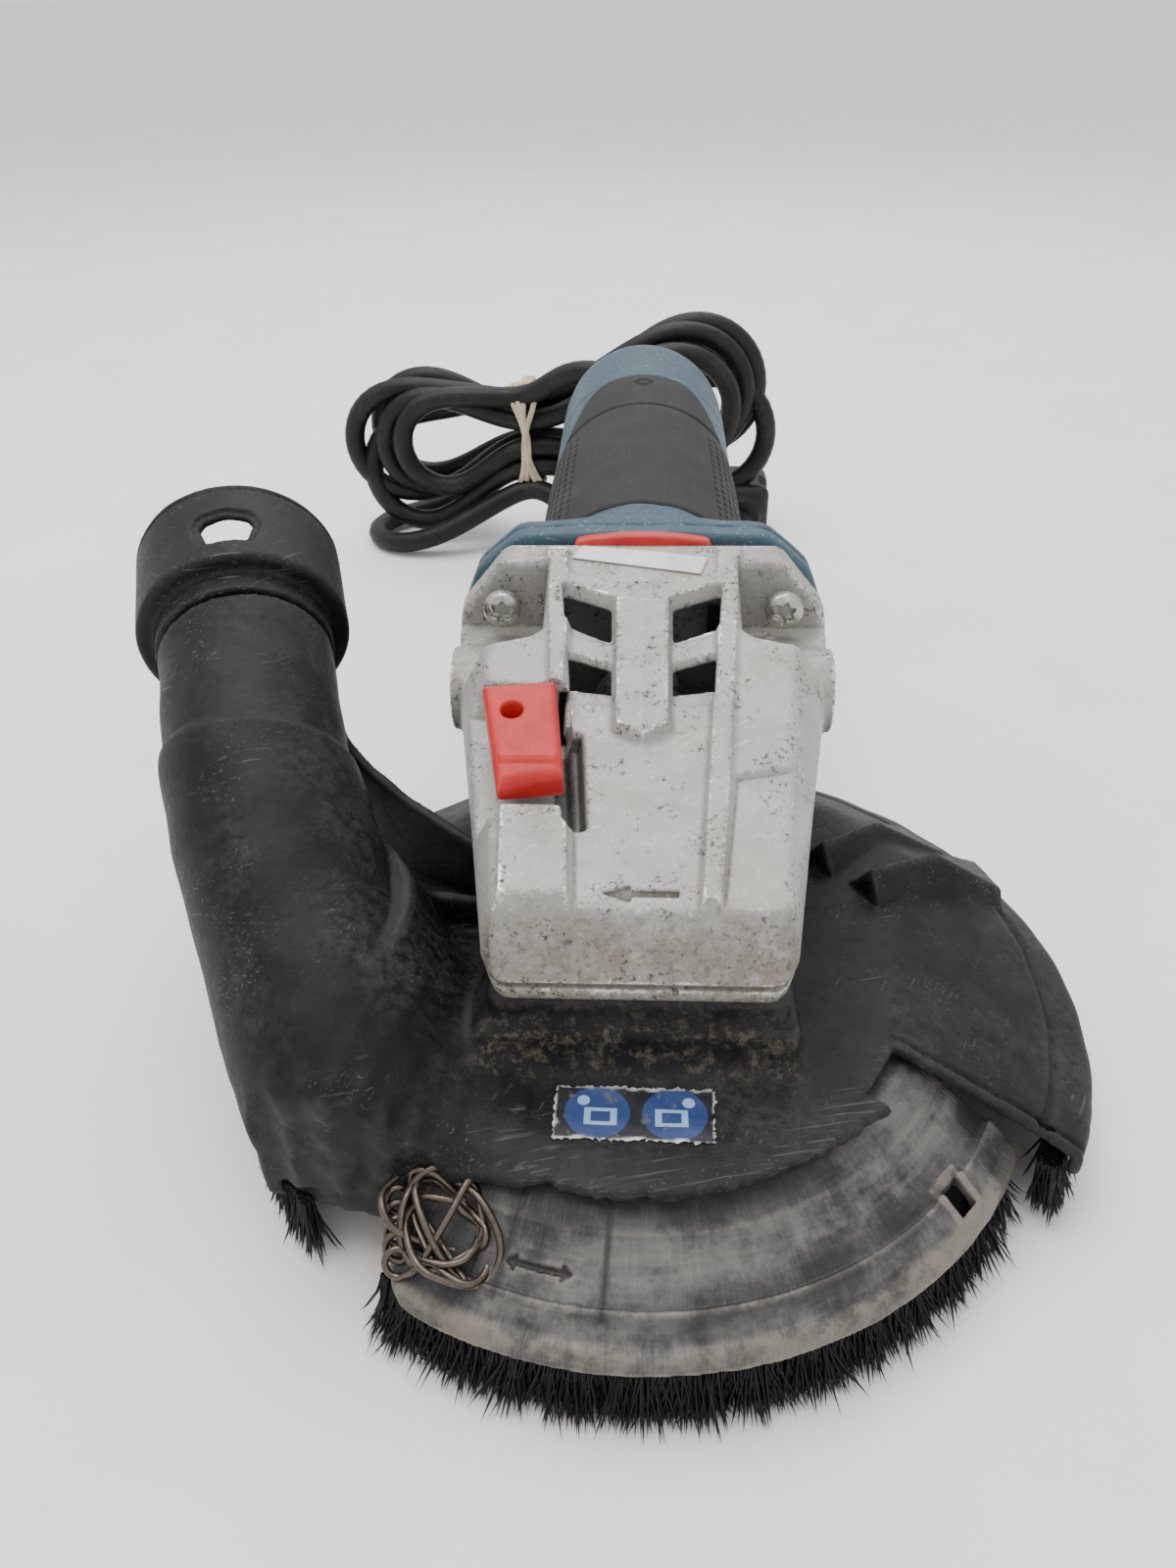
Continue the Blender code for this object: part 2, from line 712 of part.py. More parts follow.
def build_gear_housing():
    """The cast gear head: a body that widens towards its rear flange, hollowed for the gears and the fan."""
    sections = [
        (-37, 22, 25, 58.5, 57, 54),
        (-34.5, 25.5, 28, 65, 60, 54),
        (-29.5, 26.8, 29.5, 73, 66, 54),
        (5, 29, 35.5, 84, 72, 54),
        (32, 32, 40.5, 92, 77, 54),
        (41.99, 33.5, 42, 95, 79.5, 54),
        (42, 33.5, 42, 95, 79.5, 45),
        (55, 35, 43, 99, 81.5, 45),
        (63.7, 35.5, 43, 100.5, 82, 45),
    ]
    rings = []
    for y, top_x, side_x, top_z, side_z, bottom_z in sections:
        right = [
            (top_x, y, top_z),
            ((top_x + side_x) / 2 + 1.6, y, (top_z + side_z) / 2 + 1.8),
            (side_x, y, side_z),
            (side_x, y, bottom_z),
        ]
        rings.append(right + [(-x, y, z) for x, y, z in reversed(right)])
    head = loft("gear_housing", rings, CAST)
    for side in (-1, 1):
        boss = rod(f"handle_boss_{side}", (30 * side, 42, 75), (42.6 * side, 42, 75), 9.5, sides=20)
        combine(head, boss, "UNION")
        cut(head, rod(f"handle_thread_{side}", (29.5 * side, 42, 75), (50 * side, 42, 75), 3.6, sides=12))
    cut(
        head,
        turned("gear_cavity", [(0, 71), (28, 71), (28, 40), (0, 40)], steps=28),
        turned("bearing_pocket", [(0, 77.5), (8.5, 77.5), (8.5, 60), (0, 60)], steps=SPINDLE_STEPS),
        motor_turned("pinion_passage", [(0, 60), (11.3, 60), (11.3, 10.6), (0, 10.6)], steps=20),
        motor_turned("fan_chamber", [(0, 80), (26.5, 80), (26.5, 44), (0, 44)], steps=24),
        block("lock_pocket", (-33.5, -8.8, LOCK_FLOOR), (-13.8, 17, 110)),
        rod("spring_seat", (LOCK_X, LOCK_Y, 73), (LOCK_X, LOCK_Y, 90), 5.2, sides=16),
        rod("pin_hole", (LOCK_X, LOCK_Y, 60), (LOCK_X, LOCK_Y, 90), 2.9, sides=12),
    )
    for side in (-1, 1):
        near, far = sorted((3.5 * side, 15.5 * side))
        cut(
            head,
            block(f"air_channel_{side}", (near, 19, 88.4), (far, 70, 90.4)),
            block(f"front_vent_{side}", (near, 21, 87), (far, 31, 110)),
            block(f"rear_vent_{side}", (near, 38, 87), (far, 50, 110)),
        )
        near, far = sorted((25.5 * side, 50 * side))
        cut(head, block(f"screw_notch_{side}", (near, 35, 83.5), (far, 53.5, 110)))
    for x, z in screw_places():
        cut(head, rod(f"head_screw_hole_{x}_{z}", (x, 50, z), (x, 80, z), 2.95, sides=12))
    for x in (-SCREW_X, SCREW_X):
        cut(head, rod(f"low_screw_seat_{x}", (x, 40, SCREW_Z[1]), (x, 53.5, SCREW_Z[1]), 5.2, sides=14))


def build_housing_screws():
    for number, (x, z) in enumerate(screw_places(), 1):
        screw = turned(
            f"gear_housing_screw_{number}",
            [(0, 0), (2.5, 0), (2.5, -22), (4.4, -22), (4.4, -24.4), (3.4, -25.4), (0, -25.4)],
            ZINC,
            (x, 75.2, z),
            (0, 1, 0),
            steps=10,
        )
        cut(screw, rod(f"screw_drive_{number}", (x, 45, z), (x, 52.2, z), 1.9, sides=6))


def build_air_ring():
    ring = extruded("air_deflector_ring", flange_outline(0.3), 64, 66, RED, axis="Y")
    cut(ring, motor_turned("ring_bore", [(0, 80), (25, 80), (25, 50), (0, 50)], steps=20))
    for x, z in screw_places():
        cut(ring, rod(f"ring_screw_hole_{x}_{z}", (x, 60, z), (x, 78, z), 2.9, sides=10))


def build_bearing_flange():
    """The aluminium flange under the gear head: it holds the lower spindle bearing and carries the guard."""
    flange = turned(
        "bearing_flange",
        [(17.8, 53.7), (25, 53.7), (25, 45), (20.5, 44.5), (20.5, 34.5), (9, 34.5), (9, 41.7), (17.8, 41.7)],
        CAST,
        steps=20,
    )
    for number in range(4):
        angle = math.radians(45 + 90 * number)
        x, y = 21.6 * math.cos(angle), 21.6 * math.sin(angle)
        cut(flange, rod(f"flange_hole_{number}", (x, y, 44.9), (x, y, 60), 1.6, sides=6))


def build_lock():
    button = block("lock_button", (-32.9, -8.2, 83.3), (-14.4, 16.4, 90.3), RED, bevel=1.6)
    cut(button, rod("button_hole", (-24.5, 10, 85.5), (-24.5, 10, 100), 1.9, sides=12))
    rod("lock_pin", (LOCK_X, LOCK_Y, CROWN_RIM_Z + 1), (LOCK_X, LOCK_Y, 83), PIN_R, STEEL, sides=12)
    turns, per_turn = 4, 8
    low, high = 74.0, 82.2
    coil = []
    for i in range(turns * per_turn + 1):
        angle = 2 * math.pi * i / per_turn
        height = low + (high - low) * i / (turns * per_turn)
        coil.append((LOCK_X + 4.0 * math.cos(angle), LOCK_Y + 4.0 * math.sin(angle), height))
    tube("lock_spring", coil, [0.6] * len(coil), STEEL, resolution=1)


def build_switch():
    low, high = SWITCH_SLOT_Y
    knob_low, knob_high = (25.2, low + 9, MOTOR_Z - 5), (31.6, high - 1.5, MOTOR_Z + 5)
    knob = block("slide_switch", knob_low, knob_high, BLACK, bevel=0.8)
    for groove in range(3):
        y = low + 14 + 5 * groove
        cut(knob, block(f"knob_groove_{groove}", (30.8, y, MOTOR_Z - 6), (33, y + 1.6, MOTOR_Z + 6)))
    block("switch_rod", (23.1, 98, MOTOR_Z - 3), (24.7, 207, MOTOR_Z + 3), BLACK)
    block("switch_module", (-11, 214, MOTOR_Z - 13), (11, 246, MOTOR_Z + 13), BLACK, bevel=1)


# ---------------------------------------------------------------- guard


def guard_profile(lift=0.0):
    """The outer side of the guard's shell, from the axis out to its skirt."""
    return [
        (0, GUARD_TOP + lift),
        (GUARD_FLAT_R, GUARD_TOP + lift),
        (GUARD_R - 1.5, 20 + lift),
        (GUARD_R + lift, 18 + lift),
        (GUARD_R + lift, GUARD_SKIRT_Z),
    ]


def window(name, extra=0.0):
    """The opening at the guard's front that the sliding segment fills."""
    deep = sector(name, WINDOW_START + extra, WINDOW_END - extra, WINDOW_R, 125, -5, 60)
    notch = sector(f"{name}_notch", WINDOW_START + extra, NOTCH_END, NOTCH_R, 70, -5, 60)
    return deep, notch


def guard_turned(name, profile, surface=None):
    return turned(name, profile, surface, (*GUARD_CENTRE, 0), steps=44)


def rounded_outline(left, right, front, rear, radius, steps=3):
    """A rectangle with round corners, as (x, y) points."""
    outline = []
    corners = [(right, rear, 0), (left, rear, 90), (left, front, 180), (right, front, 270)]
    for x, y, start in corners:
        cx = x - math.copysign(radius, x - (left + right) / 2)
        cy = y - math.copysign(radius, y - (front + rear) / 2)
        for i in range(steps + 1):
            angle = math.radians(start + 90 * i / steps)
            outline.append((cx + radius * math.cos(angle), cy + radius * math.sin(angle)))
    return outline


def build_guard():
    inner = [
        (GUARD_R - 2.7, GUARD_SKIRT_Z),
        (GUARD_R - 2.7, 16.9),
        (GUARD_FLAT_R - 1.2, GUARD_TOP - GUARD_WALL),
        (0, GUARD_TOP - GUARD_WALL),
    ]
    guard = guard_turned("dust_guard", guard_profile() + inner, BLACK)
    collar = extruded(
        "guard_collar",
        rounded_outline(-COLLAR_HALF_X, COLLAR_HALF_X, COLLAR_FRONT, COLLAR_REAR, 9),
        GUARD_TOP - 1,
        COLLAR_TOP,
    )
    combine(guard, collar, "UNION")
    for number, wedge in enumerate(((46, 44, 60, 66), (54.5, 27, 74, 42))):
        x1, y1, x2, y2 = wedge
        tooth = loft(
            f"guard_tooth_{number}",
            [
                [(x1 - 3, y1 + 7, 35), (x1, y1, 43.5), (x1 + 7, y1 - 5, 35)],
                [(x2 - 3, y2 + 7, 24), (x2, y2, 30), (x2 + 7, y2 - 5, 18)],
            ],
        )
        combine(guard, tooth, "UNION")
    hollow = extruded(
        "collar_hollow",
        rounded_outline(-COLLAR_HALF_X + 3, COLLAR_HALF_X - 3, COLLAR_FRONT + 3, COLLAR_REAR - 3, 6),
        GUARD_TOP,
        80,
    )
    throat = rod("guard_throat", (0, 0, 20), (0, 0, 60), 20.9, sides=28)
    cut(guard, hollow, throat, *window("guard_window"))
    cut(guard, tube("guard_dust_hole", duct_points(), duct_radii(-2.6), resolution=5))


def duct_points():
    """The duct's centreline, from the nozzle's neck down to the front left of the guard."""
    direction = Vector(NOZZLE_DIRECTION).normalized()
    start = Vector(NOZZLE_START) - direction * (NECK_LENGTH - 2)
    route = [start, (-86.5, 29, 73.2), (-82.5, 16.5, 66), (-78, 5.9, 59.3)]
    route += [(-70.5, -13, 48.5), (-63.5, -30, 38)]
    return smooth_route([*route, (-56, -45, 29)], 9)


def duct_radii(change=0.0):
    """The duct keeps the neck's radius until it meets the guard, and then narrows."""
    count = len(duct_points())
    narrowing = 0.7
    radii = []
    for i in range(count):
        t = i / (count - 1)
        radii.append(NECK_R + change - 6 * max(0.0, (t - narrowing) / (1 - narrowing)))
    return radii


def build_duct():
    duct = tube("dust_duct", duct_points(), duct_radii(), BLACK, resolution=5)
    points = duct_points()
    points[0] = points[0] + (points[0] - points[1])
    bore = tube("duct_bore", points[:-1], duct_radii(-2.6)[:-1], resolution=5)
    filled = guard_turned("guard_filled", guard_profile(GAP) + [(0, GUARD_SKIRT_Z)])
    below = block("duct_below", (-130, -80, -20), (-20, 80, 20))
    direction = Vector(NOZZLE_DIRECTION).normalized()
    mouth = Vector(NOZZLE_START) - direction * (NECK_LENGTH + GAP)
    cut(duct, bore, filled, below, rod("duct_mouth_plane", mouth, mouth + direction * 30, 30))
    for number, (start, end) in enumerate((((-70, 30, 62), (-40, 18, 44)), ((-62, 2, 46), (-38, 4, 40)))):
        rib = loft(
            f"duct_rib_{number}",
            [
                [(start[0], start[1] - 1, start[2]), (start[0], start[1] + 1, start[2])]
                + [(start[0], start[1] + 1, 37.2), (start[0], start[1] - 1, 37.2)],
                [(end[0], end[1] - 1, end[2]), (end[0], end[1] + 1, end[2])]
                + [(end[0], end[1] + 1, 37.2), (end[0], end[1] - 1, 37.2)],
            ],
        )
        cut(rib, bore)
        combine(duct, rib, "UNION")


def build_nozzle():
    """The hose nozzle: a collar on a neck, with a window in the collar's top."""
    direction = Vector(NOZZLE_DIRECTION).normalized()
    nozzle = turned(
        "hose_nozzle",
        [
            (COLLAR_BORE_R, COLLAR_LENGTH),
            (COLLAR_R, COLLAR_LENGTH),
            (COLLAR_R, 0),
            (NECK_R, -1.5),
            (NECK_R, -NECK_LENGTH),
            (DUCT_BORE_R, -NECK_LENGTH),
            (DUCT_BORE_R, 2),
            (COLLAR_BORE_R, 2),
        ],
        BLACK,
        NOZZLE_START,
        direction,
        steps=28,
    )
    hatch_low = Vector(NOZZLE_START) + direction * 10
    hatch_high = Vector(NOZZLE_START) + direction * 16
    hatch = block(
        "nozzle_window", (hatch_low.x - 5.5, hatch_low.y, 100), (hatch_low.x + 5.5, hatch_high.y + 0.4, 125)
    )
    cut(nozzle, hatch)


def build_segment():
    """The front part of the guard, which turns about the spindle under the rest of it."""
    profile = [
        (55.5, 31),
        (60, 31),
        (64, 29),
        (76, 21.6),
        (83, 16.2),
        (SEGMENT_R, 14.6),
        (SEGMENT_R, 12.2),
        (82.2, 12.2),
        (82.2, 14.2),
        (75, 19.4),
        (63, 26.8),
        (60, 28.6),
        (55.5, 28.6),
    ]
    segment = turned("guard_segment", profile, WORN, steps=48)
    combine(segment, sector("segment_span", -26, -126, 40, 130, 0, 50), "INTERSECT")
    x, y = 59.7, -51.7
    cut(segment, block("segment_square_hole", (x - 3, y - 3, 5), (x + 3, y + 3, 40)))
    brush = turned("segment_brush", [(78.6, 15.4), (81.8, 13.1), (81.8, 0), (78.6, 0)], BRISTLE, steps=48)
    combine(brush, sector("segment_brush_span", -29, -123, 40, 130, -5, 50), "INTERSECT")


def build_guard_clamp():
    """The split band and its screw that hold the guard on the bearing flange's neck."""
    band = turned("guard_clamp_band", [(20.9, 44), (22.6, 44), (22.6, 37.2), (20.9, 37.2)], ZINC, steps=24)
    lugs = block("clamp_lugs", (-5, 21.2, 37.2), (5, 31, 44))
    combine(band, lugs, "UNION")
    cut(
        band,
        block("clamp_split", (-1.5, 15, 30), (1.5, 40, 50)),
        rod("clamp_hole", (-9, 27, 40.6), (9, 27, 40.6), 1.9),
    )
    turned(
        "guard_clamp_screw",
        [(0, 11), (1.6, 11), (1.6, -6), (3.2, -6), (3.2, -8.4), (0, -8.4)],
        ZINC,
        (0, 27, 40.6),
        (1, 0, 0),
        steps=10,
    )


def build_guard_brush():
    brush = guard_turned("guard_brush", [(85.6, 16.4), (88.9, 16.4), (88.9, 0), (85.6, 0)], BRISTLE)
    cut(brush, *window("brush_window", 3))
    cut(brush, tube("brush_dust_gap", duct_points(), duct_radii(0.6), resolution=5))


# ---------------------------------------------------------------- cord


def hank_outline():
    """The hank's side view: a low left lobe, a waist where it is tied, and a raised right lobe."""
    lobes = [((-108, 25), 24.5, 180, 285), ((30, 60), 24, 285, 360)]
    lobes += [((27, 70), 27, 0, 100), ((-106, 49), 27, 85, 180)]
    runs = []
    for (x, z), radius, start, end in lobes:
        steps = round((end - start) / 25)
        angles = [math.radians(start + (end - start) * i / steps) for i in range(steps + 1)]
        runs.append([(x + radius * math.cos(a), z + radius * math.sin(a)) for a in angles])
    below, above = [(-56, 25.5), (-40, 26.5)], [(-40, 71), (-56, 70)]
    return runs[0] + below + runs[1] + runs[2] + above + runs[3]


def waist_ring(name, half_width, outer, inner, surface=None):
    """A square ring round the hank's waist, outer and inner being (front, rear, bottom, top)."""
    front, rear, bottom, top = outer
    ring = block(name, (BAND_X - half_width, front, bottom), (BAND_X + half_width, rear, top), surface)
    front, rear, bottom, top = inner
    low, high = (BAND_X - 9, front, bottom), (BAND_X + 9, rear, top)
    cut(ring, block(f"{name}_hole", low, high))
    return ring


def build_cord():
    """The strain relief and lead, the tied hank, and the tail that comes out of it to the plug."""
    route = smooth_route(LEAD, 4)
    relief = [point for point in route if point.y > BODY_REAR + 1][:RELIEF_POINTS]
    neck = [(0, y, MOTOR_Z) for y in (250.5, 254.1, 254.15, 257.35, 257.4)]
    radii = [8.6, 8.6, 6.3, 6.3, 7.8]
    radii += [7.8 - 2.5 * (i + 1) / RELIEF_POINTS for i in range(len(relief))]
    tube("strain_relief", [*neck, *relief], radii, RUBBER, resolution=3)
    lead = route[len(relief) + 2 :]
    tube("cord_lead", lead, [CORD_D / 2] * len(lead), RUBBER, resolution=2)
    hank = extruded("cord_hank", hank_outline(), HANK_Y - 14, HANK_Y + 14, RUBBER, axis="Y")
    front, rear, bottom, top = HANK_Y - 12.4, HANK_Y + 12.4, 28, 68.5
    cut(hank, waist_ring("waist", 5, (front - 5, rear + 5, 20, 80), (front, rear, bottom, top)))
    hole = (front - GAP, rear + GAP, bottom - GAP, top + GAP)
    wrap = (front - BAND_THICK, rear + BAND_THICK, bottom - BAND_THICK, top + BAND_THICK)
    waist_ring("rubber_band", 5 - GAP, wrap, hole, BAND)
    tail = smooth_route(TAIL, 16)
    tube("cord_tail", tail, [CORD_D / 2] * len(tail), RUBBER, resolution=2)


def build_plug():
    front = PLUG_Y + GAP
    block("cord_plug", (PLUG_X - 12.5, front, 0.5), (PLUG_X + 12.5, front + 34, 27.5), RUBBER, bevel=4)
    for name, x in (("left", -6.35), ("right", 6.35)):
        low = (PLUG_X + x - 0.8, front + 34 + GAP, PLUG_Z - 3.2)
        high = (PLUG_X + x + 0.8, front + 51, PLUG_Z + 3.2)
        block(f"plug_blade_{name}", low, high, BRASS)


def build_all():
    build_spindle()
    build_cup_wheel()
    build_crown_gear()
    build_pinion()
    build_armature()
    build_bearings()
    build_stator()
    build_brushes()
    build_motor_housing()
    build_grip()
    build_rear_cap()
    build_gear_housing()
    build_housing_screws()
    build_air_ring()
    build_bearing_flange()
    build_lock()
    build_switch()
    build_guard()
    build_duct()
    build_nozzle()
    build_segment()
    build_guard_clamp()
    build_guard_brush()
    build_cord()
    build_plug()


build_all()
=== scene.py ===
"""The look of a used concrete surfacing grinder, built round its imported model.

Lengths are millimetres in the spindle's frame: Z is the wheel spindle, Y runs back along the motor, and
the floor is z = 0. Cast and moulded shapes are signed distances on a grid, made into meshes by surface nets.
"""

import json
import math

import bmesh
import bpy
import numpy as np
from mathutils import Matrix, Vector
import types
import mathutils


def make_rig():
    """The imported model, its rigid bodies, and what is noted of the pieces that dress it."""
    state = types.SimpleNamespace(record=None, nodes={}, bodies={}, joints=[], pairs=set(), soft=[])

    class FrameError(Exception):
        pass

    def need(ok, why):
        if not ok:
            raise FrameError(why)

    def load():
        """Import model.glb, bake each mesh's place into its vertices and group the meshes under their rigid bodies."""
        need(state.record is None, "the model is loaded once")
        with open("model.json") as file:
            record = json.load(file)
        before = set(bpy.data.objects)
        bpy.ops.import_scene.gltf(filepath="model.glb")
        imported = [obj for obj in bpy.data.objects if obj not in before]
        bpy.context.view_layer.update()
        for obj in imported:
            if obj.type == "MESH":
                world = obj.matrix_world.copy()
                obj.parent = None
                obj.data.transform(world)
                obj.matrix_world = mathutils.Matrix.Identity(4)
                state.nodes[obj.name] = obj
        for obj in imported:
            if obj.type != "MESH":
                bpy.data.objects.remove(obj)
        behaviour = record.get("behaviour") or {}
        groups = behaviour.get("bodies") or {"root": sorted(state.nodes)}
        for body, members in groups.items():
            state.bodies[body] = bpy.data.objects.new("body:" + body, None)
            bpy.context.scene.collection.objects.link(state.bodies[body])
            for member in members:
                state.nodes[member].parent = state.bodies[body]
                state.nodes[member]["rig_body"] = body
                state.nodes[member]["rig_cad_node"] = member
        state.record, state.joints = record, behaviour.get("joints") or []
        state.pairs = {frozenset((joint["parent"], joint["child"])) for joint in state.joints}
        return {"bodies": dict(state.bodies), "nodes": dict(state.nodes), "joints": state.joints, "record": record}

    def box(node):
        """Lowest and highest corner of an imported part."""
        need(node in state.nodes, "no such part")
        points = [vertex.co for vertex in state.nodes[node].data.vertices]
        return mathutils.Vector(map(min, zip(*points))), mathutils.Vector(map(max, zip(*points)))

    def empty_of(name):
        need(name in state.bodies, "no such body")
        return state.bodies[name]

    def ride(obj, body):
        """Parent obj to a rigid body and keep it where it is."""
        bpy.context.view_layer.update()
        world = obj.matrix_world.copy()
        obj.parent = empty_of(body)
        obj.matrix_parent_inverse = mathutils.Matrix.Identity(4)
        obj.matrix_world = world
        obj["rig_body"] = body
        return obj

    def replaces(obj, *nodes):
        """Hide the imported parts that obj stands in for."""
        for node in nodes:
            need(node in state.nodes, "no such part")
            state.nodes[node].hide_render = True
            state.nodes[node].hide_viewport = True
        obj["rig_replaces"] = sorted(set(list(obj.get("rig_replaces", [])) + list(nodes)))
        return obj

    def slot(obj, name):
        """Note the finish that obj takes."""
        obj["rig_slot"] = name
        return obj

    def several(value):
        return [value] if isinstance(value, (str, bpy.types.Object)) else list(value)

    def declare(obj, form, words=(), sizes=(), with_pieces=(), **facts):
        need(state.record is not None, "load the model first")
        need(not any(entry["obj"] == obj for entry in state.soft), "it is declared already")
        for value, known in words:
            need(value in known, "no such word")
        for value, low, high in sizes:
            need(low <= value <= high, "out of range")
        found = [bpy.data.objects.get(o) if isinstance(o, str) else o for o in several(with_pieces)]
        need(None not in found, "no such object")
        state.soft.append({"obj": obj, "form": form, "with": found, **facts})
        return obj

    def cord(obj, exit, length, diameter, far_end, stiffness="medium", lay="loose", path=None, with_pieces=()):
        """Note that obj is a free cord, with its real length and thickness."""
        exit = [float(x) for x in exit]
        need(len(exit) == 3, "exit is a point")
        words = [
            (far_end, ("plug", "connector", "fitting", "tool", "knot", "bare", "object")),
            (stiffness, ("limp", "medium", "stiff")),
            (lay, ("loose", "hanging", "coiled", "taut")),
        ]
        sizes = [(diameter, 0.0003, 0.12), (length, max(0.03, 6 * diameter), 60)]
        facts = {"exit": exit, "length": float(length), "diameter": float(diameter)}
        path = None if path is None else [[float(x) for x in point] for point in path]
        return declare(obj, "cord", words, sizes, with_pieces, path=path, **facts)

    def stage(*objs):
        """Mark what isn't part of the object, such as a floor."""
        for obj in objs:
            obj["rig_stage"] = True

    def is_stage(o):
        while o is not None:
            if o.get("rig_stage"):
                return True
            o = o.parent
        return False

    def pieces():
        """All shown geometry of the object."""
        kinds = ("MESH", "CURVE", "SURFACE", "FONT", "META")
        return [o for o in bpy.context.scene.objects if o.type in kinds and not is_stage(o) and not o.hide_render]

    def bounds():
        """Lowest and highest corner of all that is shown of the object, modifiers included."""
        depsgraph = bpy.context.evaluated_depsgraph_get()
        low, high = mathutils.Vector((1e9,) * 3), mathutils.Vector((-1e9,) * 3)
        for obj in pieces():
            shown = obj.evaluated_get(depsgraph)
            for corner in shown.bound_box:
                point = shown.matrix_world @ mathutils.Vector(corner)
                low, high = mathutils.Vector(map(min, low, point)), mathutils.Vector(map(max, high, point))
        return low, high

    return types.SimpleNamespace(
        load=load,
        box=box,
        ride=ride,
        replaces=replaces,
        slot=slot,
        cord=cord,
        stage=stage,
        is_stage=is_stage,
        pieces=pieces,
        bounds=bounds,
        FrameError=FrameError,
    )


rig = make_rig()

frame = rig.load()
CAD_BOX = [list(corner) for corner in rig.bounds()]

MM = 0.001
SPINDLE_LOW, SPINDLE_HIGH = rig.box("spindle")
SHIFT = np.array([(SPINDLE_LOW[i] + SPINDLE_HIGH[i]) / 2 / MM for i in (0, 1)] + [0.0])
MOTOR_Z = 73.0
CORD_D = 8.6
RNG = np.random.default_rng(7)


def world(points):
    """Points in the spindle's frame, in millimetres, as world points in metres."""
    return (np.asarray(points, float) + SHIFT) * MM


# ---------------------------------------------------------------- signed distances


def unit(value):
    """The value held between 0 and 1."""
    return np.clip(value, 0, 1)


def largest(first, *others):
    for other in others:
        first = np.maximum(first, other)
    return first


def smooth_min(a, b, width):
    """The smaller distance, with the joint between the two shapes rounded over a width."""
    if width <= 0:
        return np.minimum(a, b)
    share = unit(0.5 + 0.5 * (b - a) / width)
    return b + (a - b) * share - width * share * (1 - share)


def smooth_max(a, b, width):
    return -smooth_min(-a, -b, width)


def polygon_distance(x, y, corners):
    """Signed distance to a closed outline, negative inside."""
    corners = np.asarray(corners, np.float32)
    best = np.full(np.broadcast(x, y).shape, 1e9, np.float32)
    inside = np.zeros(best.shape, bool)
    for (ax, ay), (bx, by) in zip(corners, np.roll(corners, -1, 0)):
        ex, ey = bx - ax, by - ay
        px, py = x - ax, y - ay
        along = unit((px * ex + py * ey) / (ex * ex + ey * ey))
        best = np.minimum(best, (px - ex * along) ** 2 + (py - ey * along) ** 2)
        crosses = (ay > y) != (by > y)
        if by != ay:
            inside ^= crosses & (x < ax + ex * (y - ay) / (by - ay))
    return np.where(inside, -np.sqrt(best), np.sqrt(best))


def both(a, b):
    """The distance to where two shapes at right angles to each other meet."""
    return np.minimum(np.maximum(a, b), 0) + np.hypot(np.maximum(a, 0), np.maximum(b, 0))


def between(flat, low, high):
    """An outline's distance, carried from low to high along the third axis (a distance to the slab)."""
    slab = np.maximum(low, high)
    return both(flat, slab)


def box_distance(x, y, z, low, high, rounding=0.0):
    """Signed distance to a box between two corners, its edges rounded inside it."""
    parts = []
    for value, start, end in zip((x, y, z), low, high):
        parts.append(np.abs(value - (start + end) / 2) - ((end - start) / 2 - rounding))
    outside = np.sqrt(sum(np.maximum(part, 0) ** 2 for part in parts))
    inside = np.minimum(largest(*parts), 0)
    return outside + inside - rounding


def rod_distance(x, y, z, start, end, radius):
    """Signed distance to a flat-ended rod."""
    start, end = np.asarray(start, float), np.asarray(end, float)
    length = np.linalg.norm(end - start)
    way = (end - start) / length
    px, py, pz = x - start[0], y - start[1], z - start[2]
    along = px * way[0] + py * way[1] + pz * way[2]
    across = np.sqrt(np.maximum(px**2 + py**2 + pz**2 - along**2, 0)) - radius
    return both(across, np.abs(along - length / 2) - length / 2)


def tube_distance(x, y, z, points, radii):
    """Distance to a tube along a line of points, of one radius or of one at each point."""
    radii = radii if np.ndim(radii) else [radii] * len(points)
    best = None
    for a, b, ra, rb in zip(points, points[1:], radii, radii[1:]):
        a, b = np.asarray(a, float), np.asarray(b, float)
        e = b - a
        px, py, pz = x - a[0], y - a[1], z - a[2]
        along = unit((px * e[0] + py * e[1] + pz * e[2]) / (e @ e))
        d = np.sqrt((px - e[0] * along) ** 2 + (py - e[1] * along) ** 2 + (pz - e[2] * along) ** 2)
        d -= ra + (rb - ra) * along
        best = d if best is None else np.minimum(best, d)
    return best


FAR = 100.0


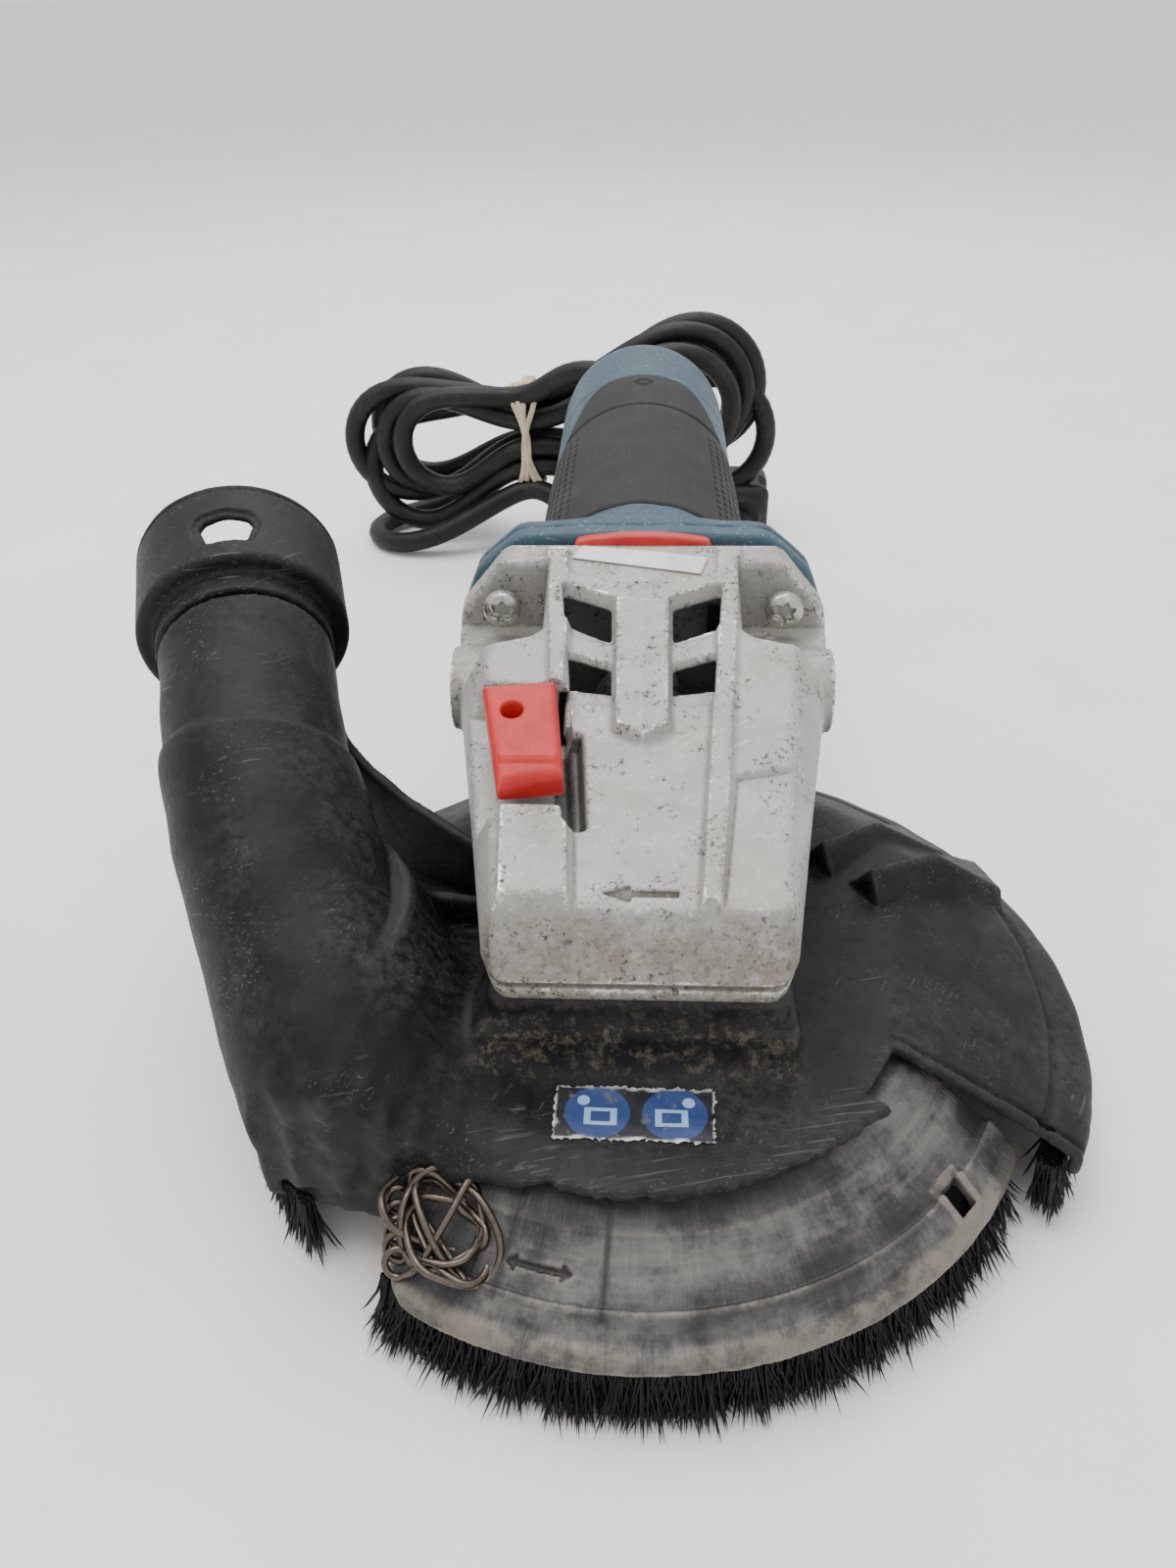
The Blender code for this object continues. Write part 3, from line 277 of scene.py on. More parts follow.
class Field:
    """A solid held as distances on a grid, from which the axes x, y and z can be unpacked too."""

    def __init__(self, low, high, step):
        self.low, self.step = np.asarray(low, np.float32), step
        axes = [np.arange(a, b + step, step, dtype=np.float32) for a, b in zip(low, high)]
        self.x = axes[0][:, None, None]
        self.y = axes[1][None, :, None]
        self.z = axes[2][None, None, :]
        self.d = np.full([len(axis) for axis in axes], FAR, np.float32)

    def __iter__(self):
        return iter((self, self.x, self.y, self.z))

    def near(self, low, high):
        """The part of the grid between two corners, as a slice and its x, y and z."""
        first = np.maximum(np.floor((np.asarray(low) - self.low) / self.step).astype(int), 0)
        last = np.ceil((np.asarray(high) - self.low) / self.step).astype(int) + 1
        part = tuple(slice(a, max(b, a + 1)) for a, b in zip(first, last))
        return part, self.x[part[0]], self.y[:, part[1]], self.z[:, :, part[2]]

    def add(self, distance, blend=0.0, part=...):
        self.d[part] = smooth_min(self.d[part], distance, blend)

    def cut(self, distance, blend=0.0, part=...):
        self.d[part] = smooth_max(self.d[part], -distance, blend)

    def blurred(self, cells):
        """The distances averaged over a small cube: more than the surface's own at an outward edge."""
        d = np.clip(self.d, -4 * cells * self.step, 4 * cells * self.step)
        for axis in range(3):
            total = d.copy()
            for shift in range(1, cells + 1):
                for way in (-shift, shift):
                    total += np.roll(d, way, axis)
            d = total / (2 * cells + 1)
        return d

    def sample(self, values, points):
        """A grid's values at points, weighed from the eight grid points round each."""
        at = (points - self.low) / self.step
        first = np.clip(np.floor(at).astype(int), 0, np.array(values.shape) - 2)
        share = at - first
        total = np.zeros(len(points))
        for corner in ((a, b, c) for a in (0, 1) for b in (0, 1) for c in (0, 1)):
            weight = np.prod(np.where(corner, share, 1 - share), axis=1)
            total += weight * values[tuple((first + corner).T)]
        return total

    def settle(self, points):
        """Points moved along the slope onto the surface, by half a cell at most."""
        reach = self.step / 2
        slope = np.zeros_like(points)
        for axis in range(3):
            shift = np.zeros(3)
            shift[axis] = reach
            slope[:, axis] = self.sample(self.d, points + shift) - self.sample(self.d, points - shift)
        slope /= 2 * reach
        away = self.sample(self.d, points) / np.maximum((slope**2).sum(1), 0.25)
        return points - slope * np.clip(away, -reach, reach)[:, None]

    def mesh(self, name, extra=None):
        """The surface as a smooth-shaded object, with its edges' sharpness in the attribute "edge"."""
        v = self.d
        inside = v < 0
        count = np.zeros([n - 1 for n in v.shape], np.int8)
        corners = [(a, b, c) for a in (0, 1) for b in (0, 1) for c in (0, 1)]
        for a, b, c in corners:
            count += inside[a : a + count.shape[0], b : b + count.shape[1], c : c + count.shape[2]]
        active = (count > 0) & (count < 8)
        index = np.full(active.shape, -1, np.int64)
        cells = np.argwhere(active)
        index[active] = np.arange(len(cells))
        i, j, k = cells.T
        total, crossings = np.zeros((len(cells), 3)), np.zeros(len(cells))
        for axis in range(3):
            for p, q in ((0, 0), (0, 1), (1, 0), (1, 1)):
                start = [0, 0, 0]
                start[(axis + 1) % 3], start[(axis + 2) % 3] = p, q
                end = list(start)
                end[axis] = 1
                first = v[i + start[0], j + start[1], k + start[2]].astype(float)
                second = v[i + end[0], j + end[1], k + end[2]].astype(float)
                crossed = (first < 0) != (second < 0)
                share = np.where(crossed, first / np.where(crossed, first - second, 1), 0)
                point = np.repeat(np.array([start], float), len(cells), 0)
                point[:, axis] += share
                total += point * crossed[:, None]
                crossings += crossed
        points = self.settle(self.low + (cells + total / crossings[:, None]) * self.step)
        quads = []
        for axis in range(3):
            u, w = (axis + 1) % 3, (axis + 2) % 3
            here, there = [slice(1, -1)] * 3, [slice(1, -1)] * 3
            here[axis], there[axis] = slice(0, -1), slice(1, None)
            changed = inside[tuple(here)] != inside[tuple(there)]
            edges = np.argwhere(changed)
            solid = inside[tuple(here)][changed]
            edges[:, u] += 1
            edges[:, w] += 1
            ring = []
            for p, q in ((-1, -1), (0, -1), (0, 0), (-1, 0)):
                cell = edges.copy()
                cell[:, u] += p
                cell[:, w] += q
                ring.append(index[tuple(cell.T)])
            ring = np.stack(ring, 1)
            ring[~solid] = ring[~solid][:, ::-1]
            quads.append(ring)
        made = mesh_object(name, world(points), np.concatenate(quads))
        set_attribute(made, "edge", self.sample(self.blurred(2), points) / (2 * self.step))
        for key, function in (extra or {}).items():
            set_attribute(made, key, function(*points.T))
        return made


def mesh_object(name, points, faces, smooth=True):
    """An object from an array of world points and an array of faces of one size."""
    faces = np.asarray(faces)
    mesh = bpy.data.meshes.new(name)
    size = faces.shape[1]
    mesh.vertices.add(len(points))
    mesh.vertices.foreach_set("co", np.asarray(points, np.float32).ravel())
    mesh.loops.add(faces.size)
    mesh.loops.foreach_set("vertex_index", faces.ravel().astype(np.int32))
    mesh.polygons.add(len(faces))
    mesh.polygons.foreach_set("loop_start", np.arange(0, faces.size, size, dtype=np.int32))
    mesh.update(calc_edges=True)
    mesh.validate()
    mesh.polygons.foreach_set("use_smooth", np.full(len(mesh.polygons), smooth))
    made = bpy.data.objects.new(name, mesh)
    bpy.context.scene.collection.objects.link(made)
    return made


def spindle_points(obj):
    """An object's vertices in the spindle's frame, in millimetres."""
    flat = np.empty(len(obj.data.vertices) * 3, np.float32)
    obj.data.vertices.foreach_get("co", flat)
    return flat.reshape(-1, 3) / MM - SHIFT


def closed_sheet(name, outer, inner, turned=False):
    """A thin closed sheet from two grids of points; turned puts the first grid's face on the other side."""
    rows, columns = outer.shape[0] - 1, outer.shape[1] - 1
    wide, half = columns + 1, (rows + 1) * (columns + 1)
    i, j = np.meshgrid(np.arange(rows), np.arange(columns), indexing="ij")
    q = (i * wide + j).ravel()
    out = np.stack([q, q + 1, q + wide + 1, q + wide], -1)
    right, left = [k * wide + columns for k in range(1, rows + 1)], [k * wide for k in range(rows - 1, 0, -1)]
    border = np.array([*range(wide), *right, *[rows * wide + k for k in range(columns - 1, -1, -1)], *left])
    after = np.roll(border, -1)
    side = np.stack([after, border, border + half, after + half], -1)
    faces = np.concatenate([out, out[:, ::-1] + half, side])
    if turned:
        faces = np.roll(faces[:, ::-1], 1, axis=1)
    return mesh_object(name, world(np.concatenate([outer.reshape(-1, 3), inner.reshape(-1, 3)])), faces)


def set_attribute(obj, name, values):
    """Values at an object's vertices, for its material."""
    attribute = obj.data.attributes.new(name, "FLOAT", "POINT")
    attribute.data.foreach_set("value", np.asarray(values, np.float32))


def fit_out(obj, surface, body, slot, replaced=()):
    """Gives a piece its material, body and slot, and says which CAD nodes it stands for."""
    obj.data.materials.clear()
    obj.data.materials.append(surface)
    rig.ride(obj, body)
    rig.slot(obj, slot)
    if replaced:
        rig.replaces(obj, *replaced)
    return obj


# ---------------------------------------------------------------- materials


class Shading:
    """A material's node tree, with short calls for the nodes that the surfaces share."""

    def __init__(self, name):
        self.material = bpy.data.materials.new(name)
        self.material.use_nodes = True
        self.tree = self.material.node_tree
        self.shader = self.tree.nodes["Principled BSDF"]
        self.place = self.tree.nodes.new("ShaderNodeTexCoord").outputs["Object"]

    def link(self, source, target):
        if isinstance(source, bpy.types.NodeSocket):
            self.tree.links.new(source, target)
        elif isinstance(source, tuple) and len(source) == 3 and target.type == "RGBA":
            target.default_value = (*source, 1)
        else:
            target.default_value = source

    def stretched(self, scale=(1, 1, 1), turn=(0, 0, 0), shift=(0, 0, 0)):
        """The object's coordinates, stretched, turned and moved."""
        node = self.tree.nodes.new("ShaderNodeMapping")
        node.vector_type = "TEXTURE"
        self.link(self.place, node.inputs["Vector"])
        node.inputs["Scale"].default_value = scale
        node.inputs["Rotation"].default_value = [math.radians(a) for a in turn]
        node.inputs["Location"].default_value = shift
        return node.outputs["Vector"]

    def noise(self, size, detail=4, rough=0.6, vector=None):
        """Noise whose features are about size millimetres across, from 0 to 1."""
        node = self.tree.nodes.new("ShaderNodeTexNoise")
        self.link(vector or self.place, node.inputs["Vector"])
        node.inputs["Scale"].default_value = 1 / (size * MM)
        node.inputs["Detail"].default_value = detail
        node.inputs["Roughness"].default_value = rough
        return node.outputs["Fac"]

    def patches(self, size, detail, rough, low, high, shift=None):
        """Noise cut to soft-edged patches; a shift takes it from another place."""
        return self.fit(self.noise(size, detail, rough, shift and self.stretched(shift=shift)), low, high)

    def attribute(self, name):
        node = self.tree.nodes.new("ShaderNodeAttribute")
        node.attribute_name = name
        return node.outputs["Fac"]

    def math(self, operation, a, b=0.0, clamp=False):
        node = self.tree.nodes.new("ShaderNodeMath")
        node.operation = operation
        node.use_clamp = clamp
        self.link(a, node.inputs[0])
        self.link(b, node.inputs[1])
        return node.outputs[0]

    def times(self, a, b, clamp=False):
        return self.math("MULTIPLY", a, b, clamp)

    def plus(self, a, b, clamp=False):
        return self.math("ADD", a, b, clamp)

    def minus(self, a, b):
        return self.math("SUBTRACT", a, b)

    def larger(self, a, b):
        return self.math("MAXIMUM", a, b)

    def fit(self, value, low, high, to_low=0.0, to_high=1.0):
        """The value stretched from low..high to another range, and held there."""
        node = self.tree.nodes.new("ShaderNodeMapRange")
        node.interpolation_type = "SMOOTHSTEP"
        self.link(value, node.inputs["Value"])
        for key, number in (("From Min", low), ("From Max", high), ("To Min", to_low), ("To Max", to_high)):
            node.inputs[key].default_value = number
        return node.outputs["Result"]

    def mix(self, share, a, b):
        node = self.tree.nodes.new("ShaderNodeMix")
        node.data_type = "RGBA"
        self.link(share, node.inputs["Factor"])
        self.link(a, node.inputs[6])
        self.link(b, node.inputs[7])
        return node.outputs[2]

    def bump(self, height, distance, strength=1.0, normal=None):
        """A bump of that many millimetres, on top of another bump's normal."""
        node = self.tree.nodes.new("ShaderNodeBump")
        node.inputs["Strength"].default_value = strength
        node.inputs["Distance"].default_value = distance * MM
        self.link(height, node.inputs["Height"])
        if normal is not None:
            self.link(normal, node.inputs["Normal"])
        return node.outputs["Normal"]

    def finish(self, colour, roughness, metallic=0.0, normal=None, specular=None):
        self.link(colour, self.shader.inputs["Base Color"])
        self.link(roughness, self.shader.inputs["Roughness"])
        self.link(metallic, self.shader.inputs["Metallic"])
        if normal is not None:
            self.link(normal, self.shader.inputs["Normal"])
        if specular is not None:
            self.link(specular, self.shader.inputs["Specular IOR Level"])
        return self.material


def scratches(s, turn, length=14.0, width=0.28, low=0.64, high=0.72, shift=(0, 0, 0)):
    """Thin straight marks along one direction, from 0 to 1."""
    lines = s.stretched((length / width, 1, 1), turn, shift)
    return s.fit(s.noise(width * 3.2, 2, 0.5, lines), low, high)


def cast_paint():
    """Silver paint over cast metal: worn bright on its edges, brown dirt in specks, brown film and dark corners that
    are dirt and painted shade, and painted shade deep in its hollows.
    """
    s = Shading("silver_cast_paint")
    edge, grime = s.attribute("edge"), s.attribute("grime")
    grain = s.noise(1.1, 5, 0.7)
    patch = s.noise(9, 4, 0.65)
    worn = s.plus(edge, s.times(s.fit(grain, 0.3, 0.75, -0.5, 0.5), 0.2))
    worn = s.plus(worn, s.times(s.fit(patch, 0.3, 0.75, -0.5, 0.5), 0.2))
    worn = s.fit(worn, 0.1, 0.24)
    marks = s.larger(scratches(s, (0, 0, 35), 8), scratches(s, (10, 20, 110), 6, shift=(3, 1, 2)))
    worn = s.larger(worn, s.times(marks, 0.22))
    colour = s.mix(s.fit(patch, 0.3, 0.7), (0.285, 0.28, 0.262), (0.36, 0.355, 0.335))
    yellow = s.patches(16, 3, 0.6, 0.5, 0.7, (0.4, 0, 0))
    colour = s.mix(s.times(yellow, 0.4), colour, (0.29, 0.255, 0.185))
    # The brown film from "grime": dirt, and on the housing's front face and screw notches also painted shade.
    film = s.times(grime, s.fit(s.noise(3.5, 6, 0.7), 0.3, 0.62, 0.25, 1.0))
    colour = s.mix(s.times(film, 0.85), colour, (0.135, 0.112, 0.074))
    colour = s.mix(s.times(worn, s.fit(film, 0, 1, 1.0, 0.5)), colour, (0.66, 0.65, 0.61))
    speck = s.patches(1.3, 6, 0.8, 0.535, 0.575)
    where = s.patches(8, 5, 0.7, 0.5, 0.58, (0.1, 0.2, 0))
    near = s.larger(s.fit(edge, 0.03, 0.16), s.times(grime, 0.8))
    dirt = s.times(speck, s.larger(where, s.times(near, 0.75)))
    # Dark brown in inside corners: dirt and painted shade.
    hollow = s.times(s.fit(edge, -0.05, -0.26), s.fit(grain, 0.25, 0.6))
    dirt = s.larger(dirt, s.times(hollow, 0.75))
    colour = s.mix(s.times(dirt, 0.9), colour, (0.04, 0.03, 0.02))
    # Painted shade: near black deep in the vents, the lock button's slot and the arrow.
    colour = s.mix(s.attribute("soot"), colour, (0.004, 0.0033, 0.003))
    clean = s.minus(1.0, s.larger(dirt, s.attribute("soot")))
    metal = s.times(clean, s.fit(worn, 0, 1, 0.12, 0.85))
    rough = s.plus(s.fit(worn, 0, 1, 0.46, 0.3), s.times(dirt, 0.35))
    normal = s.bump(s.noise(0.6, 3, 0.6), 0.05)
    normal = s.bump(s.minus(grain, worn), 0.06, 1.0, normal)
    return s.finish(colour, rough, metal, normal)


def guard_plastic(name, dust=1.0):
    """Black moulded plastic, dulled by concrete dust, with pale scuffs and fine scratches."""
    s = Shading(name)
    edge, grime = s.attribute("edge"), s.attribute("grime")
    cloud = s.noise(24, 5, 0.66)
    fine = s.noise(2.2, 6, 0.72)
    scuffs = s.larger(scratches(s, (20, 10, 65), 9, 0.24), scratches(s, (0, 30, 140), 14, 0.2))
    scuffs = s.larger(scuffs, scratches(s, (40, 0, 15), 11, 0.22, shift=(1, 2, 3)))
    scuffs = s.times(scuffs, s.patches(17, 3, 0.6, 0.45, 0.65, (0.3, 0, 0)))
    rubbed = s.times(scratches(s, (0, 0, 12), 16, 0.2, 0.55, 0.66), s.attribute("scuff"))
    scuffs = s.larger(scuffs, rubbed)
    grey = s.times(s.fit(cloud, 0.38, 0.7), s.fit(fine, 0.3, 0.7))
    grey = s.plus(grey, s.times(s.fit(edge, 0.06, 0.32), 0.45), clamp=True)
    grey = s.times(grey, 0.7 * dust)
    colour = s.mix(grey, (0.0026, 0.0027, 0.0031), (0.045, 0.0455, 0.0455))
    crumbs = s.times(s.patches(0.8, 5, 0.8, 0.66, 0.72), s.fit(cloud, 0.48, 0.66))
    pale = s.larger(s.times(scuffs, 0.3), s.times(crumbs, 0.25))
    colour = s.mix(pale, colour, (0.17, 0.167, 0.157))
    crust = s.times(grime, s.patches(2.6, 6, 0.8, 0.48, 0.6))
    colour = s.mix(s.times(crust, 0.6), colour, (0.105, 0.09, 0.066))
    rough = s.plus(s.fit(fine, 0.25, 0.75, 0.46, 0.62), s.times(grey, 0.2))
    normal = s.bump(s.noise(1.0, 4, 0.6), 0.08)
    normal = s.bump(s.plus(fine, s.plus(scuffs, crust)), 0.12, 0.7, normal)
    return s.finish(colour, rough, 0.0, normal, specular=0.22)


def blue_plastic():
    """Blue-green glass-filled plastic, chalky where it is rubbed, with pale scratches."""
    s = Shading("blue_housing_plastic")
    edge = s.attribute("edge")
    cloud = s.noise(13, 5, 0.65)
    fine = s.noise(1.2, 5, 0.7)
    marks = s.larger(scratches(s, (0, 20, 25), 7, 0.26), scratches(s, (0, 50, 75), 5, 0.24))
    marks = s.larger(marks, s.times(s.fit(fine, 0.6, 0.68), 0.5))
    wear = s.plus(s.fit(edge, 0.05, 0.3), s.times(s.fit(cloud, 0.4, 0.7), 0.5), clamp=True)
    colour = s.mix(s.times(wear, 0.6), (0.020, 0.050, 0.074), (0.058, 0.115, 0.148))
    colour = s.mix(s.times(marks, 0.45), colour, (0.26, 0.33, 0.36))
    rough = s.fit(fine, 0.3, 0.7, 0.45, 0.62)
    return s.finish(colour, rough, 0.0, s.bump(s.minus(fine, marks), 0.06), specular=0.35)


def grip_rubber(name="charcoal_grip"):
    """Charcoal rubber, greyed by dust, with painted shade in its dimples and pressed marks."""
    s = Shading(name)
    cloud = s.noise(18, 5, 0.65)
    fine = s.noise(0.7, 5, 0.75)
    lines = scratches(s, (0, 0, 88), 12, 0.35, 0.58, 0.7)
    grey = s.times(s.fit(cloud, 0.35, 0.7), s.fit(fine, 0.3, 0.7))
    grey = s.plus(s.times(grey, 0.6), s.times(lines, 0.2), clamp=True)
    colour = s.mix(grey, (0.0062, 0.006, 0.0063), (0.040, 0.0385, 0.038))
    rust = s.patches(6, 4, 0.6, 0.62, 0.75, (0.2, 0, 0))
    colour = s.mix(s.times(rust, 0.3), colour, (0.07, 0.042, 0.032))
    # Painted shade: near black in the dimples and pressed marks.
    colour = s.mix(s.fit(s.attribute("edge"), -0.1, -0.9), colour, (0.002, 0.002, 0.002))
    return s.finish(colour, 0.7, 0.0, s.bump(fine, 0.08, 0.8), specular=0.3)


def cord_rubber():
    """Black rubber with dust caught along it."""
    s = Shading("cord_rubber")
    fine = s.noise(1.5, 5, 0.7)
    cloud = s.noise(20, 4, 0.6)
    dust = s.times(s.fit(cloud, 0.42, 0.7), s.fit(fine, 0.35, 0.7))
    colour = s.mix(s.times(dust, 0.6), (0.0035, 0.0034, 0.0037), (0.042, 0.039, 0.037))
    return s.finish(colour, s.fit(fine, 0.3, 0.7, 0.44, 0.6), 0.0, s.bump(fine, 0.06), specular=0.3)


def red_plastic():
    """Red moulded plastic, paler along its rubbed edges, with dark specks."""
    s = Shading("red_plastic")
    fine = s.noise(1.0, 5, 0.7)
    cloud = s.noise(7, 4, 0.6)
    colour = s.mix(s.fit(cloud, 0.35, 0.7), (0.40, 0.012, 0.012), (0.50, 0.024, 0.02))
    edge = s.fit(s.attribute("edge"), 0.1, 0.35)
    colour = s.mix(s.times(edge, 0.3), colour, (0.62, 0.09, 0.07))
    speck = s.times(s.patches(0.6, 5, 0.8, 0.64, 0.7), s.fit(cloud, 0.4, 0.6))
    colour = s.mix(s.times(speck, 0.7), colour, (0.10, 0.012, 0.01))
    rough = s.fit(fine, 0.3, 0.7, 0.4, 0.54)
    return s.finish(colour, rough, 0.0, s.bump(fine, 0.04), specular=0.35)


def worn_segment():
    """Grey plastic ground down by wall edges: brushed pale, with dark smears round it and a yellowed rim."""
    s = Shading("worn_segment_grey")
    edge = s.attribute("edge")
    radius, angle = s.attribute("radius"), s.attribute("angle")

    def polar(across, around, scale, detail):
        combined = s.tree.nodes.new("ShaderNodeCombineXYZ")
        s.link(s.times(radius, across), combined.inputs[0])
        s.link(s.times(angle, around), combined.inputs[1])
        return s.noise(1 / (MM * scale), detail, 0.6, combined.outputs[0])

    strokes = s.fit(polar(0.06, 1.1, 2.0, 4), 0.36, 0.66)
    smears = s.fit(polar(0.5, 0.045, 1.0, 4), 0.42, 0.6)
    cloud = s.patches(17, 5, 0.7, 0.4, 0.62)
    tone = s.plus(s.times(strokes, 0.1), s.times(cloud, 0.6))
    tone = s.plus(tone, s.times(smears, 0.16))
    tone = s.times(tone, s.minus(1.0, s.attribute("shade")), clamp=True)
    colour = s.mix(tone, (0.0095, 0.010, 0.0115), (0.165, 0.158, 0.148))
    rim = s.times(s.fit(edge, 0.03, 0.25), s.fit(cloud, 0.0, 1.0, 0.15, 0.6))
    colour = s.mix(rim, colour, (0.235, 0.212, 0.178))
    yellow = s.times(s.attribute("yellow"), s.fit(cloud, 0, 1, 0.15, 0.7))
    colour = s.mix(yellow, colour, (0.19, 0.165, 0.115))
    # Painted shade: near black in inside corners and grooves.
    dark = s.times(s.fit(edge, -0.06, -0.25), 0.8)
    colour = s.mix(dark, colour, (0.007, 0.007, 0.007))
    colour = s.mix(s.attribute("ink"), colour, (0.006, 0.006, 0.006))
    rough = s.fit(strokes, 0, 1, 0.55, 0.42)
    normal = s.bump(strokes, 0.06)
    normal = s.bump(s.noise(0.8, 4, 0.7), 0.06, 0.8, normal)
    return s.finish(colour, rough, s.times(tone, 0.25), normal, specular=0.4)


def metal(name, colour, roughness=0.35, dirt=0.4, size=1.2):
    """Bare metal with faint machining marks and some grime."""
    s = Shading(name)
    fine = s.noise(size, 5, 0.7)
    cloud = s.noise(size * 6, 4, 0.6)
    grime = s.times(s.fit(cloud, 0.45, 0.7), s.fit(fine, 0.4, 0.65))
    grime = s.times(grime, dirt)
    dark = tuple(0.15 * c for c in colour)
    tint = s.mix(grime, s.mix(s.fit(fine, 0.3, 0.7), colour, tuple(0.75 * c for c in colour)), dark)
    rough = s.plus(s.fit(fine, 0.3, 0.7, roughness - 0.06, roughness + 0.1), s.times(grime, 0.3))
    return s.finish(tint, rough, s.minus(1.0, grime), s.bump(fine, 0.03))


def plain_plastic(name, colour, roughness=0.5, size=1.5):
    """One plain colour, a little uneven, with a fine grain."""
    s = Shading(name)
    fine = s.noise(size, 5, 0.7)
    cloud = s.noise(size * 8, 4, 0.6)
    tint = s.mix(s.fit(cloud, 0.35, 0.7), colour, tuple(0.7 * c + 0.004 for c in colour))
    rough = s.fit(fine, 0.3, 0.7, roughness - 0.08, roughness + 0.1)
    return s.finish(tint, rough, 0.0, s.bump(fine, 0.05), specular=0.3)


CAST_PAINT = cast_paint()
GUARD_PLASTIC = guard_plastic("dusty_black_plastic")
NOZZLE_PLASTIC = guard_plastic("nozzle_black_plastic", 0.55)
BLUE = blue_plastic()
GRIP = grip_rubber()
PANEL = grip_rubber("smooth_panel")
CORD = cord_rubber()
RED = red_plastic()
SEGMENT = worn_segment()
ZINC = metal("zinc_plated_steel", (0.5, 0.5, 0.455), 0.3, 0.55)
STEEL = metal("machined_steel", (0.5, 0.5, 0.5), 0.3, 0.4)
RUSTY = metal("rusty_wire", (0.135, 0.11, 0.09), 0.38, 0.8)
COPPER = metal("copper_winding", (0.62, 0.28, 0.12), 0.35, 0.2)
BRASS = metal("brass", (0.7, 0.52, 0.24), 0.32, 0.3)
IRON = metal("laminated_steel", (0.28, 0.28, 0.29), 0.45, 0.3)
BRISTLE = plain_plastic("bristle_black", (0.003, 0.003, 0.0032), 0.55)
CARBON = plain_plastic("carbon", (0.03, 0.03, 0.03), 0.7)
BLACK = plain_plastic("black_plastic", (0.005, 0.005, 0.0055), 0.5)
BAND = plain_plastic("elastic_band", (0.56, 0.47, 0.32), 0.55, 0.8)
PAPER = plain_plastic("label_paper", (0.80, 0.80, 0.79), 0.6, 3)


# ---------------------------------------------------------------- camera and cord


CAMERA_TURN = (34.13, -2.9, -1.01)  # pitch, yaw and roll in degrees
CAMERA_PLACE = (-0.7, -192.2, 207.7)
CAMERA_LENS = 27.03


def place_camera():
    """The camera stands in front of the wheel, above it, and looks back and down along the tool."""
    pitch, yaw, roll = (math.radians(angle) for angle in CAMERA_TURN)
    forward = Vector((math.sin(yaw) * math.cos(pitch), math.cos(yaw) * math.cos(pitch), -math.sin(pitch)))
    right = Vector((math.cos(yaw), -math.sin(yaw), 0))
    up = right.cross(forward)
    right, up = right * math.cos(roll) + up * math.sin(roll), up * math.cos(roll) - right * math.sin(roll)
    data = bpy.data.cameras.new("camera")
    data.sensor_fit = "VERTICAL"
    data.sensor_height = 36
    data.lens = CAMERA_LENS
    data.clip_start = 0.01
    camera = bpy.data.objects.new("camera", data)
    bpy.context.scene.collection.objects.link(camera)
    turn = Matrix((right, up, -forward)).transposed().to_4x4()
    camera.matrix_world = Matrix.Translation(Vector(world(CAMERA_PLACE))) @ turn
    bpy.context.scene.camera = camera


def smooth_route(points, spacing):
    """Points a spacing apart along a smooth curve through the given ones."""
    points = [np.array(p, float) for p in points]
    ends = [2 * points[0] - points[1], *points, 2 * points[-1] - points[-2]]
    fine = []
    for a, b, c, d in zip(ends, ends[1:], ends[2:], ends[3:]):
        for t in np.arange(0, 1, 1 / 12):
            bend = (2 * a - 5 * b + 4 * c - d) * t**2 + (3 * b - a - 3 * c + d) * t**3
            fine.append(0.5 * (2 * b + (c - a) * t + bend))
    fine.append(points[-1])
    fine = np.array(fine)
    far = np.concatenate([[0], np.cumsum(np.linalg.norm(np.diff(fine, axis=0), axis=1))])
    at = np.linspace(0, far[-1], max(2, round(far[-1] / spacing)) + 1)
    return np.stack([np.interp(at, far, fine[:, i]) for i in range(3)], 1)


place_camera()

# The cord: from the rear cap into a hank tied at its waist, and from there along the floor to the plug.
LEAD = [(0, 257, 73), (0, 266, 73.6), (-2.5, 275, 75.6)]
LEAD += [(-9, 284.5, 78.6), (-19, 291.4, 80), (-31, 295, 78.5)]
TAIL = [(-33, 295.5, 22), (-24, 289, 15.5), (-12.5, 279, 9), (0, 270.5, 5.4), (13, 266.5, 4.8)]
TAIL += [(27, 270.5, 7), (37, 280, 10.4), (42.5, 290.5, 13.2), (43.5, 299.4, 14)]
BAND_X = -48.0

# The hank's folds in the cord's order: reach, middle height, radius, then both ends' heights and layers.
FOLDS = [
    (-56, 46, 20, 65.5, 45.5, 304.5, 305.5),
    (86, 60, 24, 45.5, 54.5, 305.5, 305.5),
    (-65, 44, 21.5, 54.5, 45.5, 307, 315),
    (92, 64, 26, 45.5, 62, 315, 315),
    (-79, 44, 23.5, 62, 35, 315, 315),
    (97, 66, 26, 35, 53, 316, 324.5),
    (-69, 48, 22, 53, 43.5, 324.5, 324.5),
    (87, 57, 24, 43.5, 62, 324.5, 324.5),
    (-72, 32, 23, 62, 36.5, 323, 306),
    (102, 47, 23, 36.5, 34, 306, 324.5),
]
FLOOR_FOLD = [(BAND_X, 323.5, 33), (-61, 329, 26), (-78, 334, 14.5), (-96, 334.5, 6.8), (-112, 328.5, 4.8)]
FLOOR_FOLD += [(-120.5, 314, 4.6), (-116, 299.5, 4.6), (-103, 292.5, 5.6), (-86, 293, 10.5)]
FLOOR_FOLD += [(-67, 298, 20), (BAND_X, 303, 28.5), (-40.5, 300, 26.4)]


